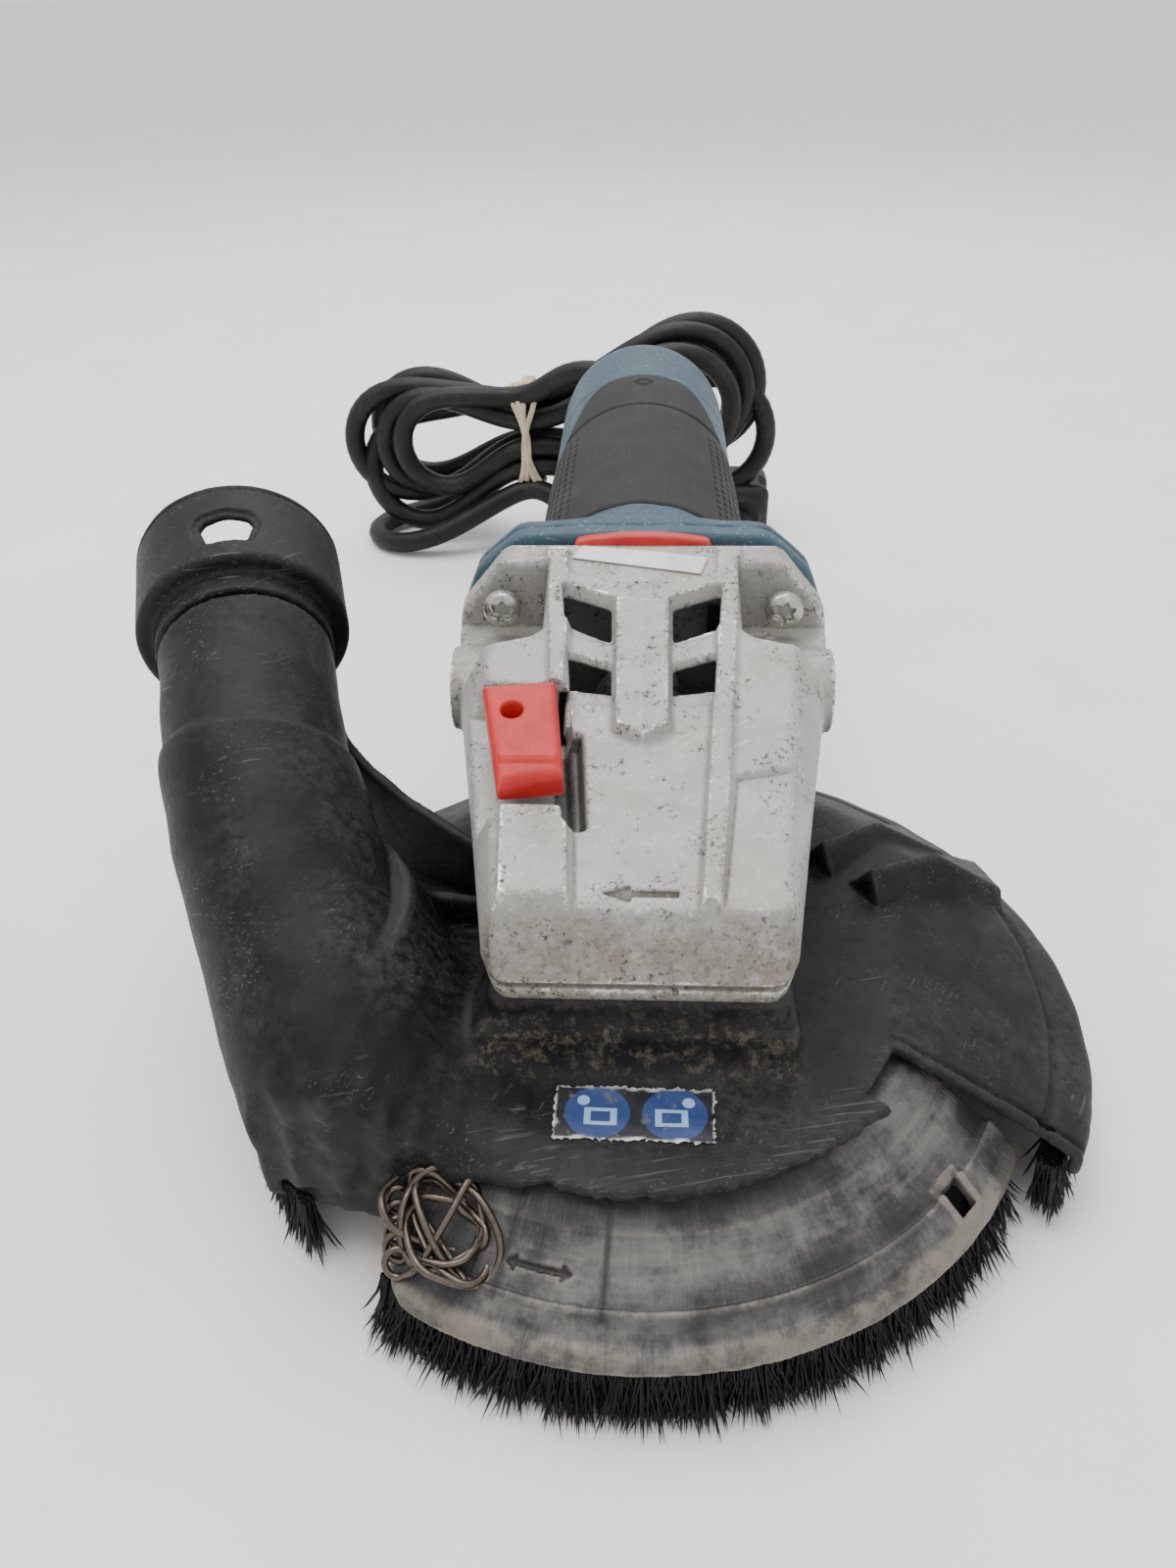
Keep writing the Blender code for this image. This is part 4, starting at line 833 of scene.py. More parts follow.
def fold(reach, middle, radius, first, last, near, far):
    """Points of one fold, from the waist out round an arc and back."""
    way = 1 if reach > 0 else -1
    centre = BAND_X + reach - way * radius
    span = abs(reach) - radius
    points = []
    for t in (0, 0.28, 0.55, 0.8):
        ease = (1 - math.cos(math.pi * t)) / 2
        points.append((BAND_X + way * span * t, first + (middle - way * radius - first) * ease))
    for angle in range(-90, 91, 30):
        a = math.radians(angle)
        points.append((centre + way * radius * math.cos(a), middle + way * radius * math.sin(a)))
    for t in (0.8, 0.55, 0.28):
        ease = (1 - math.cos(math.pi * t)) / 2
        points.append((BAND_X + way * span * t, last + (middle + way * radius - last) * ease))
    shares = [i / len(points) for i in range(len(points))]
    return [(x, near + (far - near) * u * u * (3 - 2 * u), z) for (x, z), u in zip(points, shares)]


def cord_route():
    """The cord's whole centreline, in millimetres."""
    route = [*LEAD, (-39.5, 299.6, 72)]
    for row in FOLDS:
        route += fold(*row)
    fine = smooth_route([*route, *FLOOR_FOLD, *TAIL], 4.0)
    for _ in range(6):
        fine[1:-1] += 0.25 * (fine[:-2] + fine[2:] - 2 * fine[1:-1])
    return fine


def curve_object(name, points, radius, closed=False):
    """A round cord or wire through points."""
    data = bpy.data.curves.new(name, "CURVE")
    data.dimensions = "3D"
    data.bevel_depth = radius * MM
    data.bevel_resolution = 3
    data.use_fill_caps = True
    spline = data.splines.new("POLY")
    spline.points.add(len(points) - 1)
    for point, place in zip(spline.points, world(points)):
        point.co = (*place, 1)
    spline.use_cyclic_u = closed
    spline.use_smooth = True
    made = bpy.data.objects.new(name, data)
    bpy.context.scene.collection.objects.link(made)
    return made


CORD_ROUTE = cord_route()
CORD_LENGTH = float(np.linalg.norm(np.diff(CORD_ROUTE, axis=0), axis=1).sum())
cord = curve_object("cord", CORD_ROUTE, CORD_D / 2)
fit_out(cord, CORD, "housing", "cord", ("cord_lead", "cord_hank", "cord_tail"))


# ---------------------------------------------------------------- gear housing


TOP_SLOPE, TOP_COS = 0.295, 0.959
BOSS_Y, BOSS_Z = 42, 75


def top_plane(y):
    """The height of the casting's sloping top."""
    return 74 + TOP_SLOPE * (y + 28)


def above_top(y, z):
    return (z - top_plane(y)) * TOP_COS


def plate(field, corners, low, high, blend=0.7, carve=False):
    """Raises or carves an outline between two heights above the housing's sloping top."""
    corners = np.array(corners, float)
    (x0, y0), (x1, y1) = corners.min(0) - 4, corners.max(0) + 4
    part, x, y, z = field.near((x0, y0, 55), (x1, y1, 110))
    above = above_top(y, z)
    draft = (above - high) * 0.35 if not carve else (low - above) * 0.35
    flat = polygon_distance(x, y, corners) + np.clip(draft, -1.2, 0.6)
    shape = np.maximum(flat, np.maximum(low - above, above - high))
    if carve:
        field.cut(shape, blend, part)
    else:
        field.add(shape, blend, part)


LOFT_Y = (-37, -34.5, -29.5, 5, 32, 42, 55, 63.7)
LOFT_TOP_X = (22.5, 25.2, 26.6, 30, 33.5, 34, 33, 31.4)
LOFT_SIDE_X = (25.8, 27.8, 29.5, 35.2, 40, 41.2, 42.6, 43)
LOFT_SIDE_Z = (57, 60, 66, 74, 81, 84, 86, 87)
ARMS = [(-5.8, 45.2), (5.6, 45.2), (17.2, 50.0), (17.2, 53.2), (0.2, 48.4), (-17.2, 53.2), (-17.4, 50.0)]
VENTS = [
    [(-16.7, 49.3), (-5.7, 45.1), (-5.4, 33.3), (-15.7, 39.8)],
    [(5.2, 45.2), (16.4, 49.5), (15.4, 38.0), (5.6, 33.3)],
    [(-14.5, 29.7), (-5.6, 26.4), (-5.5, 17.7), (-13.4, 17.9)],
    [(5.6, 26.5), (14.5, 30), (13.6, 18.2), (5.4, 17.6)],
]


def gear_housing_field():
    """The casting: a lofted block with a sloping top and front, its details, bosses and hollows."""
    f = Field((-45.5, -39.5, 43.5), (45.5, 65.5, 103.5), 0.4)
    x, y, z = np.abs(f.x), f.y, f.z
    top_x, side_x = np.interp(y, LOFT_Y, LOFT_TOP_X), np.interp(y, LOFT_Y, LOFT_SIDE_X)
    side_z, top_z = np.interp(y, LOFT_Y, LOFT_SIDE_Z), top_plane(y)
    run, drop = side_x - top_x, top_z - side_z
    chamfer = ((x - top_x) * drop + (z - top_z) * run) / np.hypot(run, drop)
    flare = np.interp(z, (54, 58, 66), (1.2, 0.0, 0.0))
    d = smooth_max(x - side_x + flare, chamfer, 2.4)
    d = smooth_max(d, (z - top_z) * TOP_COS, 1.6)
    front = (-(y + 31.5) * 14.5 + (z - 73) * 5) / 15.34 + flare
    d = smooth_max(d, front, 1.6)
    low = np.interp(y, (41, 47), (54, 45.5))
    d = smooth_max(d, low - z, 1.2)
    d = smooth_max(d, y - 63.7, 0.8)
    f.d = d.astype(np.float32)
    details_on_top(f)
    f.d = smooth_max(f.d, front.astype(np.float32), 0.9)
    bosses_and_notches(f)
    hollow_out(f)
    return f


def mirrored(side, corners):
    return [(side * a, b) for a, b in corners]


def details_on_top(f):
    """The sunk middle, the two rails, the side pads, the lock button's pocket, the vents and the arrow."""
    middle = [(-11.3, -45), (10.8, -45), (10.9, -26), (14.7, 20), (16.5, 50), (-16.5, 50), (-14, 20)]
    plate(f, middle, -1.2, 9, 0.8, True)
    plate(f, [(-21.7, 61), (-17.3, 61), (-16.2, 36), (-16.6, 14), (-18.5, 14), (-20, 36)], -1, 1.3, 1.2)
    plate(f, [(17.2, 61), (22, 61), (20.1, 36), (14.9, -31), (11.2, -31), (16.3, 36)], -1, 1.1, 1.2)
    plate(f, [(18.6, -2.8), (31, -0.3), (27, -33.5), (14.7, -33.5)], -1.1, 9, 0.8, True)
    plate(f, [(-26.6, -9.9), (-14.2, -10.7), (-13.0, -32.4), (-25.4, -31.6)], -1.5, 1.7, 1.0)
    plate(f, [(-36, 19.5), (-16.2, 19.5), (-13.6, -10.2), (-36, -9.8)], -7.5, 20, 1.0, True)
    plate(f, [(-15.3, 8.4), (-12.8, 8.0), (-11.2, -13.4), (-13.6, -13.8)], -5, 20, 0.8, True)
    for outline in VENTS:
        plate(f, outline, -20, 20, 1.0, True)
    plate(f, [(-5.6, 44.5), (5.6, 44.5), (5.2, 8.9), (0.2, 6.2), (-5.0, 8.9)], -8, 1.6, 1.0)
    plate(f, ARMS, -3, 1.0, 1.2)
    part, x, y, z = f.near((-7, 4, 60), (7, 56, 110))
    above = above_top(y, z)
    roof = np.maximum(np.abs(x) * 0.3 + above - 1.9, np.maximum(np.abs(x) - 2.2, np.abs(y - 28) - 20.5))
    f.add(np.maximum(roof, -above - 3), 0.8, part)
    for side in (-1, 1):
        plate(f, mirrored(side, ((5, 33.4), (16, 38.6), (14.8, 30.0), (5.2, 26.4))), -3.2, -1.6, 0.9)
        plate(f, mirrored(side, ((4.6, 31.2), (17, 35.8), (16.2, 30.8), (4.8, 26.6))), -3, -0.6, 0.9)
    arrow = [(-6.7, -28), (-1.8, -26.4), (-1.8, -27.4), (7, -27.4), (7, -28.6), (-1.8, -28.6), (-1.8, -29.7)]
    plate(f, arrow, -1.75, 5, 0.15, True)


NOTCH = ((21.6, 57.3), (21.6, 37), (24.2, 34.8), (30, 33.2), (48, 29), (48, 57.3))


def bosses_and_notches(f):
    """On each side a notch for a screw head, a side-handle boss with its hole, and a trimmed rear corner."""
    for side in (-1, 1):
        outline = mirrored(side, NOTCH)
        across = [p[0] for p in outline]
        part, x, y, z = f.near((min(across) - 3, 26, 78), (max(across) + 3, 60, 110))
        f.cut(between(polygon_distance(x, y, outline), 82.2 + (y - 45) * 0.08 - z, z - 115), 1.4, part)
        part, x, y, z = f.near((side * 40 - 13, 28, 45), (side * 40 + 13, 56, 100))
        boss, hole, sink = (
            rod_distance(x, y, z, (side * start, BOSS_Y, BOSS_Z), (side * end, BOSS_Y, BOSS_Z), radius)
            for start, end, radius in ((34, 42.4, 9.4), (33, 50, 3.6), (41.6, 50, 5.0))
        )
        f.add(boss, 1.5, part)
        f.cut(hole, 0.4, part)
        f.cut(sink, 0.4, part)
        part, x, y, z = f.near((side * 38 - 10, 52, 40), (side * 38 + 10, 66, 104))
        f.cut(np.maximum(side * x - 44, ((side * x - 36.5) * 0.78 + (z - 97.5) * 0.62)) * -1, 1.0, part)
    part, x, y, z = f.near((-45, -40, 55), (45, 30, 60))
    f.cut(np.maximum(np.abs(z - 57.4) - 0.5, -f.d[part] - 0.9), 0.4, part)


def hollow_out(f):
    """Room for the gears and the armature, and the air chamber behind the vents."""
    skin = f.d + 3.5
    part, x, y, z = f.near((-30, -30, 40), (30, 66, 94))
    gears = rod_distance(x, y, z, (0, 0, 40), (0, 0, 67.5), 27.6)
    gears = np.minimum(gears, rod_distance(x, y, z, (0, 0, 60), (0, 0, 77.8), 21))
    for front, radius in ((10, 12), (42, 28)):
        gears = np.minimum(gears, rod_distance(x, y, z, (0, front, MOTOR_Z), (0, 70, MOTOR_Z), radius))
    f.cut(np.maximum(gears, skin[part]), 0.5, part)
    part, x, y, z = f.near((-22, 10, 58), (22, 60, 100))
    above = above_top(y, z)
    chamber = largest(np.abs(x) - 17.5, np.abs(y - 33.5) - 20, above + 2.5)
    f.cut(np.maximum(chamber, 60 - z), 0.8, part)
    for side in (-1, 1):
        plate(f, mirrored(side, ((5, 22.5), (15.5, 24), (15.5, 14), (5, 14))), -6.5, -4.3, 0.8)


def housing_recess_shade(x, y, z):
    """Painted shade in the chamber under the vents, in the slot beside the lock button and on the arrow's floor."""
    depth = -above_top(y, z)
    vents = (np.abs(x) < 19) & (y > 12) & (y < 54)
    slot = (x > -17) & (x < -10.2) & (y > -15) & (y < 9)
    arrow = (np.abs(x) < 8) & (np.abs(y + 28) < 2.4)
    dark = np.where(vents, unit((depth - 4.8) / 2.5) * 0.97, 0)
    dark = np.maximum(dark, np.where(slot, np.clip((depth - 1.6) / 1.6, 0, 0.8), 0))
    return np.maximum(dark, np.where(arrow, np.clip((depth - 1.35) / 0.3, 0, 0.5), 0))


def housing_grime_and_shade(x, y, z):
    """Brown film on the front face, more toward its foot, in the screw notches, along the foot of the casting, in
    front of the lock button and on the arrow's floor; on the front face and in the notches it is dirt and painted
    shade.
    """
    # Dirt and painted shade on the front face and in the screw notches.
    front = np.clip((-28.5 - y) / 4, 0, 0.85) * np.clip((72 - z) / 10 + 0.35, 0.3, 1)
    pockets = np.where((np.abs(x) > 21) & (y > 33) & (z > 78), 0.3, 0.0)
    foot = unit((61 - z) / 6)
    pad = 0.5 * np.exp(-(((x + 20) / 6) ** 2 + ((y + 14) / 6) ** 2))
    arrow = np.where((np.abs(x) < 8) & (np.abs(y + 28) < 2.4) & (above_top(y, z) < -1.4), 1.0, 0.0)
    return largest(front, foot, arrow, pockets, pad)


gear_housing = gear_housing_field().mesh("gear_housing_shell", {"soot": housing_recess_shade, "grime": housing_grime_and_shade})
fit_out(gear_housing, CAST_PAINT, "housing", "cast", ("gear_housing",))


# ---------------------------------------------------------------- lock button, ring, screws and label


def red_cap():
    """The lock button's cap: a sloping top with a step near its front, and a round dimple."""
    f, x, y, z = Field((-36, -14, 79), (-11, 23, 95), 0.33)
    flat = polygon_distance(x, y, [(-32.4, 15.4), (-17.4, 17.0), (-14.7, -6.4), (-27.3, -9.2)]) + 2.2
    top = np.interp(y, (-9.5, -7.5, -4.6, -3.4, 18), (83.2, 84.4, 85.4, 86.4, 92.2))
    low = top_plane(y) - 0.9
    d = between(flat, low - z, z - top + 2.2) - 2.2
    f.d = smooth_max(d, (z - top) * 0.96, 0.8).astype(np.float32)
    ridge = box_distance(x, y, z - top, (-33, -4.6, -2), (-13, -3.2, 0.15), 0.2)
    f.add(np.maximum(ridge, flat - 0.9), 0.5)
    f.cut(rod_distance(x, y, z, (-25.6, 8.2, 84), (-25.9, 8.6, 96), 2.25), 0.5)
    f.cut(rod_distance(x, y, z, (-21, -12.5, 74), (-21, -9.0, 79.5), 6.5), 0.8)
    return f.mesh("lock_button_cap")


fit_out(red_cap(), RED, "lock_button_body", "red", ("lock_button",))


def deflector_ring():
    """The red strip that shows between the two housings: a thin plate with a raised arch in the middle."""
    f, x, y, z = Field((-46, 63, 44), (46, 67.5, 105), 0.6)
    outline = [(-30, 98.5), (30, 98.5), (41.2, 84.5), (41.6, 54)]
    outline += [(35, 46.6), (-35, 46.6), (-41.6, 54), (-41.2, 84.5)]
    f.add(between(polygon_distance(x, z, outline), 64.0 - y, y - 66.0), 0.0)
    lens = box_distance(x, 0 * x, z + 0.006 * x**2, (-15.8, -9, 95), (15.8, 9, 103.2), 1.3)
    f.add(smooth_max(lens, np.abs(y - 65.2) - 1.7, 1.0), 0.3)
    f.cut(rod_distance(x, y, z, (0, 60, 73), (0, 70, 73), 23), 0.0)
    return f.mesh("deflector_ring")


fit_out(deflector_ring(), RED, "housing", "red", ("air_deflector_ring",))


def along(points, start, way, roll=0.0):
    """Points whose Z axis is laid along a direction from a start."""
    turn = Vector((0, 0, 1)).rotation_difference(Vector(way)).to_matrix() @ Matrix.Rotation(roll, 3, "Z")
    return np.asarray(points) @ np.array(turn).T + np.asarray(start)


def screw(name, centre, node):
    """A pan head with a six-lobed socket, facing forward."""
    f, x, y, z = Field((-5.4, -5.4, -1.5), (5.4, 5.4, 3.4), 0.22)
    r, a = np.hypot(x, y), np.arctan2(y, x)
    dome = np.hypot(r, z + 6.2) - 8.6
    d = smooth_max(np.maximum(r - 4.25, -z - 1.2), dome, 0.5)
    d = smooth_max(d, -np.maximum(r - 2.15 - 0.42 * np.cos(6 * a), 0.6 - z), 0.25)
    f.d = d.astype(np.float32)
    made = f.mesh(name)
    places = world(along(spindle_points(made), centre, (0, -1, 0), 0.4))
    made.data.vertices.foreach_set("co", places.astype(np.float32).ravel())
    made.data.update()
    return fit_out(made, ZINC, "housing", "zinc", (node,))


for number in (1, 2, 3, 4):
    node = f"gear_housing_screw_{number}"
    low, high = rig.box(node)
    middle = np.array([(low.x + high.x) / 2, low.y, (low.z + high.z) / 2]) / MM - SHIFT
    screw(f"housing_screw_{number}", middle + (0, 2.4, 0), node)


SHEET = 0.12  # a label's thickness


def patch(name, corners, lift, surface, slot, rows=14, columns=28, ragged=0.0, height=None):
    """A thin label over four corners, lying on a height function."""
    a, b, c, d = [np.array(p, float) for p in corners]
    grid = np.empty((rows + 1, columns + 1, 3))
    for i in range(rows + 1):
        for j in range(columns + 1):
            u, v = j / columns, i / rows
            p = (1 - v) * ((1 - u) * a + u * b) + v * ((1 - u) * d + u * c)
            if ragged and (i in (0, rows) or j in (0, columns)):
                p[:2] += RNG.normal(0, ragged, 2)
            z = height(p[0], p[1]) if height else p[2]
            grid[i, j] = (p[0], p[1], z + lift)
    made = closed_sheet(name, grid, grid - (0, 0, SHEET), turned=True)
    made.data.uv_layers.new(name="sheet")
    return fit_out(made, surface, "housing", slot)


def label_height(x, y):
    return top_plane(y) + 0.45 if y < 60.5 else top_plane(60.5) + 0.45 + 0.1 * (y - 60.5)


LABEL = [(-13.8, 63.4), (14.9, 58.6), (13.0, 53.2), (-16.1, 58.4)]
patch("blank_label", [(x, y, 0) for x, y in LABEL], 0.0, PAPER, "cast", height=label_height)

# ---------------------------------------------------------------- guard, duct and nozzle

GUARD_CENTRE = (5.0, 2.0)
NOZZLE_START = np.array((-93.0, 53.0, 84.0))
NOZZLE_WAY = np.array((-0.27, 0.93, 0.25))
NOZZLE_WAY /= np.linalg.norm(NOZZLE_WAY)
DUCT = [(-93, 53, 84), (-89.5, 41, 80.3), (-86.3, 30, 76), (-82.6, 17.5, 69.5), (-77, 4.5, 60.5)]
DUCT += [(-68.5, -13, 49), (-60.5, -30, 38.5), (-53.5, -43, 29.5)]
DUCT_R = [19.2, 19.2, 19.2, 19.4, 20.0, 19.8, 19.8, 19.0]
DUCT_BORE = 16.4
SLEEVE_EDGE = 17.0
LEFT = 115  # the grid's columns that the duct can reach


def wavy(x, y, z, size, seed):
    """Smooth pseudo-random waves of about one size, from -1 to 1."""
    draw = np.random.default_rng(seed)
    total = 0.0
    for _ in range(6):
        way = draw.normal(size=3)
        way *= 2 * math.pi / (size * np.linalg.norm(way))
        total = total + np.sin(x * way[0] + y * way[1] + z * way[2] + draw.uniform(0, 6.3))
    return total / 3.2


def window_outline():
    """The part of the floor plan in front of the guard's broken front edge."""
    draw = np.random.default_rng(3)
    path = [(110, -50.5), (84.7, -41.3), (49.9, -28.8), (42.6, -41.0), (47.2, -44.0)]
    turns = [math.radians(a) for a in np.arange(-44.5, -106, -1.1)]
    arc = [(63.3 * math.cos(a), 63.3 * math.sin(a)) for a in turns]
    rough = [(x + draw.normal(0, 0.2), y + draw.normal(0, 0.3)) for x, y in arc]
    left = [(-22, -60.6), (-27, -59.2), (-33, -58.6), (-38, -56.2), (-44, -56.8), (-49, -55.4), (-55, -55.8)]
    left += [(-60, -53.4), (-64, -53.4), (-67, -50.6), (-71, -50.2), (-84, -56)]
    return path + rough + left + [(-84, -130), (110, -130)]


GUARD_TOP, GUARD_R, GUARD_WALL = 36.5, 92, 2.6


def guard_field():
    """The dust guard with its collar, wedges, ribs and duct, hollow below and broken along its front."""
    f, x, y, z = Field((-118, -68, 12), (99, 96, 105), 0.82)
    r = np.hypot(x - GUARD_CENTRE[0], y - GUARD_CENTRE[1])
    cone = (z - GUARD_TOP + 0.59 * (r - 64)) * 0.861
    plane = (z - GUARD_TOP + 0.4 * (x * 0.983 - y * 0.182 - 54.3)) * 0.928
    dome = smooth_max(smooth_max(z - GUARD_TOP, cone, 3), plane, 1.0)
    inside = np.maximum(dome, r - GUARD_R) + GUARD_WALL
    f.d = smooth_max(smooth_max(dome, r - GUARD_R, 2.2), 14 - z, 0.8).astype(np.float32)
    part, px, py, pz = f.near((8, -50, 15), (99, 96, 40))
    pr = np.hypot(px - GUARD_CENTRE[0], py - GUARD_CENTRE[1])
    step = np.maximum(np.abs(pr - 83.6) - 0.8, -f.d[part] - 0.8)
    f.cut(np.maximum(step, 40 - px), 0.5, part)
    wedges(f)
    part, px, py, pz = f.near((-42, -48, 30), (42, 52, 60))
    collar = box_distance(px, py, pz, (-28.5, -34.5, 20), (28.5, 38, 53.7), 3.0)
    f.add(collar, 9, part)
    ledge = box_distance(px, py, pz, (-30.2, -36.4, 20), (30.2, 39.5, 46.2), 2.0)
    f.add(ledge, 2.5, part)
    left = x[:LEFT]
    tube = tube_distance(left, y, z, DUCT, DUCT_R)
    sleeve = tube_distance(left, y, z, DUCT[3:], [r + 0.9 for r in DUCT_R[3:]])
    edge = (y - SLEEVE_EDGE) * 0.9 + (z - 69) * 0.42 + (left + 82.6) * -0.1
    tube = smooth_min(tube, smooth_max(sleeve, edge, 0.6), 0.5)
    f.add(tube, 6, np.s_[:LEFT])
    flare = tube_distance(x[:120], y[:, :140], z[:, :, :56], [(-60, -10, 43), (-35, -43, 23.5)], (18.5, 14))
    f.add(flare, 9, np.s_[:120, :140, :56])
    ribs(f)
    f.d = np.maximum(f.d, 13.2 - z + 0.8 * wavy(x, y, z, 9, 5))
    f.cut(np.maximum(inside, z - GUARD_TOP + GUARD_WALL), 0.8)
    part, px, py, pz = f.near((-32, -38, 12), (32, 41, 60))
    f.cut(box_distance(px, py, pz, (-26, -32, 5), (26, 35.5, 60), 2.0), 0.5, part)
    route = [(-97, 67, 88), *DUCT[:-2], (-61, -28, 33), (-60, -30, 5)]
    f.cut(tube_distance(left, y, z, route, DUCT_BORE), 0.8, np.s_[:LEFT])
    end = (x - NOZZLE_START[0]) * NOZZLE_WAY[0] + (y - NOZZLE_START[1]) * NOZZLE_WAY[1]
    end = end + (z - NOZZLE_START[2]) * NOZZLE_WAY[2]
    f.d = np.maximum(f.d, np.where(x < -60, end + 10.2, -9))
    close_corner(f, dome)
    f.cut(polygon_distance(x, y, window_outline()) * np.ones_like(z), 0.5)
    part, px, py, pz = f.near((-80, -68, 12), (99, -20, 60))
    ragged = unit((-30 - px) / 10) * unit((-48 - py) / 4)
    f.d[part] += ((0.08 + 0.32 * ragged) * wavy(px, py, pz, 5.5, 11)).astype(np.float32)
    groove_line = (px - 49.9) * 0.338 + (py + 28.8) * 0.941 - 2.2
    groove = np.maximum(np.abs(groove_line) - 0.5, -f.d[part] - 0.9)
    f.cut(np.maximum(groove, 50 - px), 0.3, part)
    f.d += (0.12 * wavy(x, y, z, 14, 12)).astype(np.float32)
    return f


def close_corner(f, dome):
    """The melted wall that closes the guard's front left corner."""
    path = [(-37, -55), (-46, -54), (-57, -52.2), (-66, -48), (-74, -40)]
    part, x, y, z = f.near((-80, -62, 12), (-30, -34, 40))
    wall = tube_distance(x, y, 0 * z, [(*point, 0) for point in path], 1.7)
    f.add(largest(wall, dome[part], 15 - z), 1.0, part)


WEDGE_TOP = 44.0
WEDGES = (((42.2, 26.8), (0.747, 0.665), 20.0, 4.0), ((51.7, 16.9), (0.852, 0.523), 19.0, 3.0))


def wedges(f):
    """Two roof-shaped pointers: a steep triangle in front, and a ridge that falls toward the rim."""
    for (cx, cy), (wx, wy), length, drop in WEDGES:
        part, x, y, z = f.near((cx - 14, cy - 14, 12), (cx + 34, cy + 34, 50))
        s = (x - cx) * wx + (y - cy) * wy
        c = (y - cy) * wx - (x - cx) * wy
        ridge = WEDGE_TOP - drop * s / length
        roof = (np.abs(c) * 7.7 + (z - ridge) * 5.3) / 9.35
        front = -s * 0.98 + (z - WEDGE_TOP) * 0.18
        rear = (s - length) * 0.6 + (z - WEDGE_TOP + drop) * 0.8
        f.add(largest(roof, front, rear, 16 - z), 0.5, part)


def web(f, start, end, heights, thick=1.25):
    """A thin upright web between two points of the plan, with a curved top edge."""
    start, end = np.array(start, float), np.array(end, float)
    length = np.linalg.norm(end - start)
    way = (end - start) / length
    low, high = np.minimum(start, end) - 8, np.maximum(start, end) + 8
    part, x, y, z = f.near((*low, 20), (*high, 90))
    s = (x - start[0]) * way[0] + (y - start[1]) * way[1]
    c = -(x - start[0]) * way[1] + (y - start[1]) * way[0]
    top = np.interp(s, np.linspace(0, length, len(heights)), heights)
    shape = smooth_max(np.abs(c) - thick, (z - top) * 0.8, 0.8)
    f.add(largest(shape, -s - 4, s - length, 33 - z), 2.0, part)


def ribs(f):
    """Three webs between the duct and the collar, the rearmost the tallest."""
    web(f, (-76, 35), (-29, 9), (78, 70, 63, 58.5, 55.5, 53.5, 52.5))
    web(f, (-68, 0.5), (-29, 4.6), (60, 54, 49.5, 46.6, 45, 44.2))
    web(f, (-62, -14), (-44, -9), (50, 43, 39, 36.8), 1.0)


def guard_grime(x, y, z):
    """Fluffy dirt packed against the front of the collar."""
    near = unit(1.4 - np.abs(y + 37.5) / 3.2)
    return near * unit((33 - np.abs(x)) / 4) * unit((z - 35) / 4)


def guard_scuff(x, y, z):
    """Where the guard rubs along walls: a band behind its front edge."""
    r = np.hypot(x, y)
    return unit(1.2 - np.abs(r - 60) / 5) * (y < -30) * (x > -25)


guard = guard_field().mesh("dust_guard_shell", {"grime": guard_grime, "scuff": guard_scuff})
fit_out(guard, GUARD_PLASTIC, "housing", "black", ("dust_guard", "dust_duct"))


def nozzle():
    """The hose collar at the duct's end, with its rim line and the window in its top."""
    f, x, y, z = Field((-131, 32, 50), (-62, 92, 118), 0.62)
    px, py, pz = x - NOZZLE_START[0], y - NOZZLE_START[1], z - NOZZLE_START[2]
    s = px * NOZZLE_WAY[0] + py * NOZZLE_WAY[1] + pz * NOZZLE_WAY[2]
    up = np.array((0, 0, 1.0)) - NOZZLE_WAY * NOZZLE_WAY[2]
    up /= np.linalg.norm(up)
    side = np.cross(NOZZLE_WAY, up)
    a = px * side[0] + py * side[1] + pz * side[2]
    b = px * up[0] + py * up[1] + pz * up[2]
    r = np.hypot(a, b)
    d = smooth_max(smooth_max(r - 24, s - 24.2, 1.6), -3.5 - s, 1.6)
    d = smooth_min(d, np.maximum(r - 19.8, np.maximum(-9.5 - s, s - 4)), 1.0)
    lip = np.maximum(np.abs(r - 23.9) - 0.4, np.abs(s - 21.8) - 0.3)
    d = smooth_max(d, -lip, 0.4)
    d = smooth_max(d, -np.maximum(r - 21.4, 1.5 - s), 0.5)
    d = smooth_max(d, -np.maximum(r - 16.6, -15 - s), 0.5)
    arc = np.arctan2(a, b) * 24
    hole = [(-4.6, 3.8), (4.6, 3.8), (6.3, 9.6), (5, 11.6), (0, 12.6), (-5, 11.6), (-6.3, 9.6)]
    flat = polygon_distance(arc, s, hole)
    d = smooth_max(d, -np.maximum(flat - 0.1, 12 - b), 0.5)
    d = smooth_max(d, -np.maximum(flat - 1.6, np.maximum(12 - b, 23.1 - r)), 0.6)
    f.d = (d + 0.06 * wavy(x, y, z, 12, 4)).astype(np.float32)
    return f.mesh("hose_collar")


fit_out(nozzle(), NOZZLE_PLASTIC, "housing", "black", ("hose_nozzle",))

# ---------------------------------------------------------------- swinging segment and bristles

SEGMENT_R = (54.8, 60, 64.5, 66.6, 67.2, 70.4, 71.0, 76.8, 77.3, 83, 84.3)
SEGMENT_Z = (31, 31, 28.8, 27.6, 26.9, 25.0, 24.5, 21.2, 21.9, 17.4, 14.8)


ARROW_ANGLE, ARROW_R = -103.5, 72.5


def polar(x, y):
    """Radius and angle in degrees round the spindle."""
    return np.hypot(x, y), np.degrees(np.arctan2(y, x))


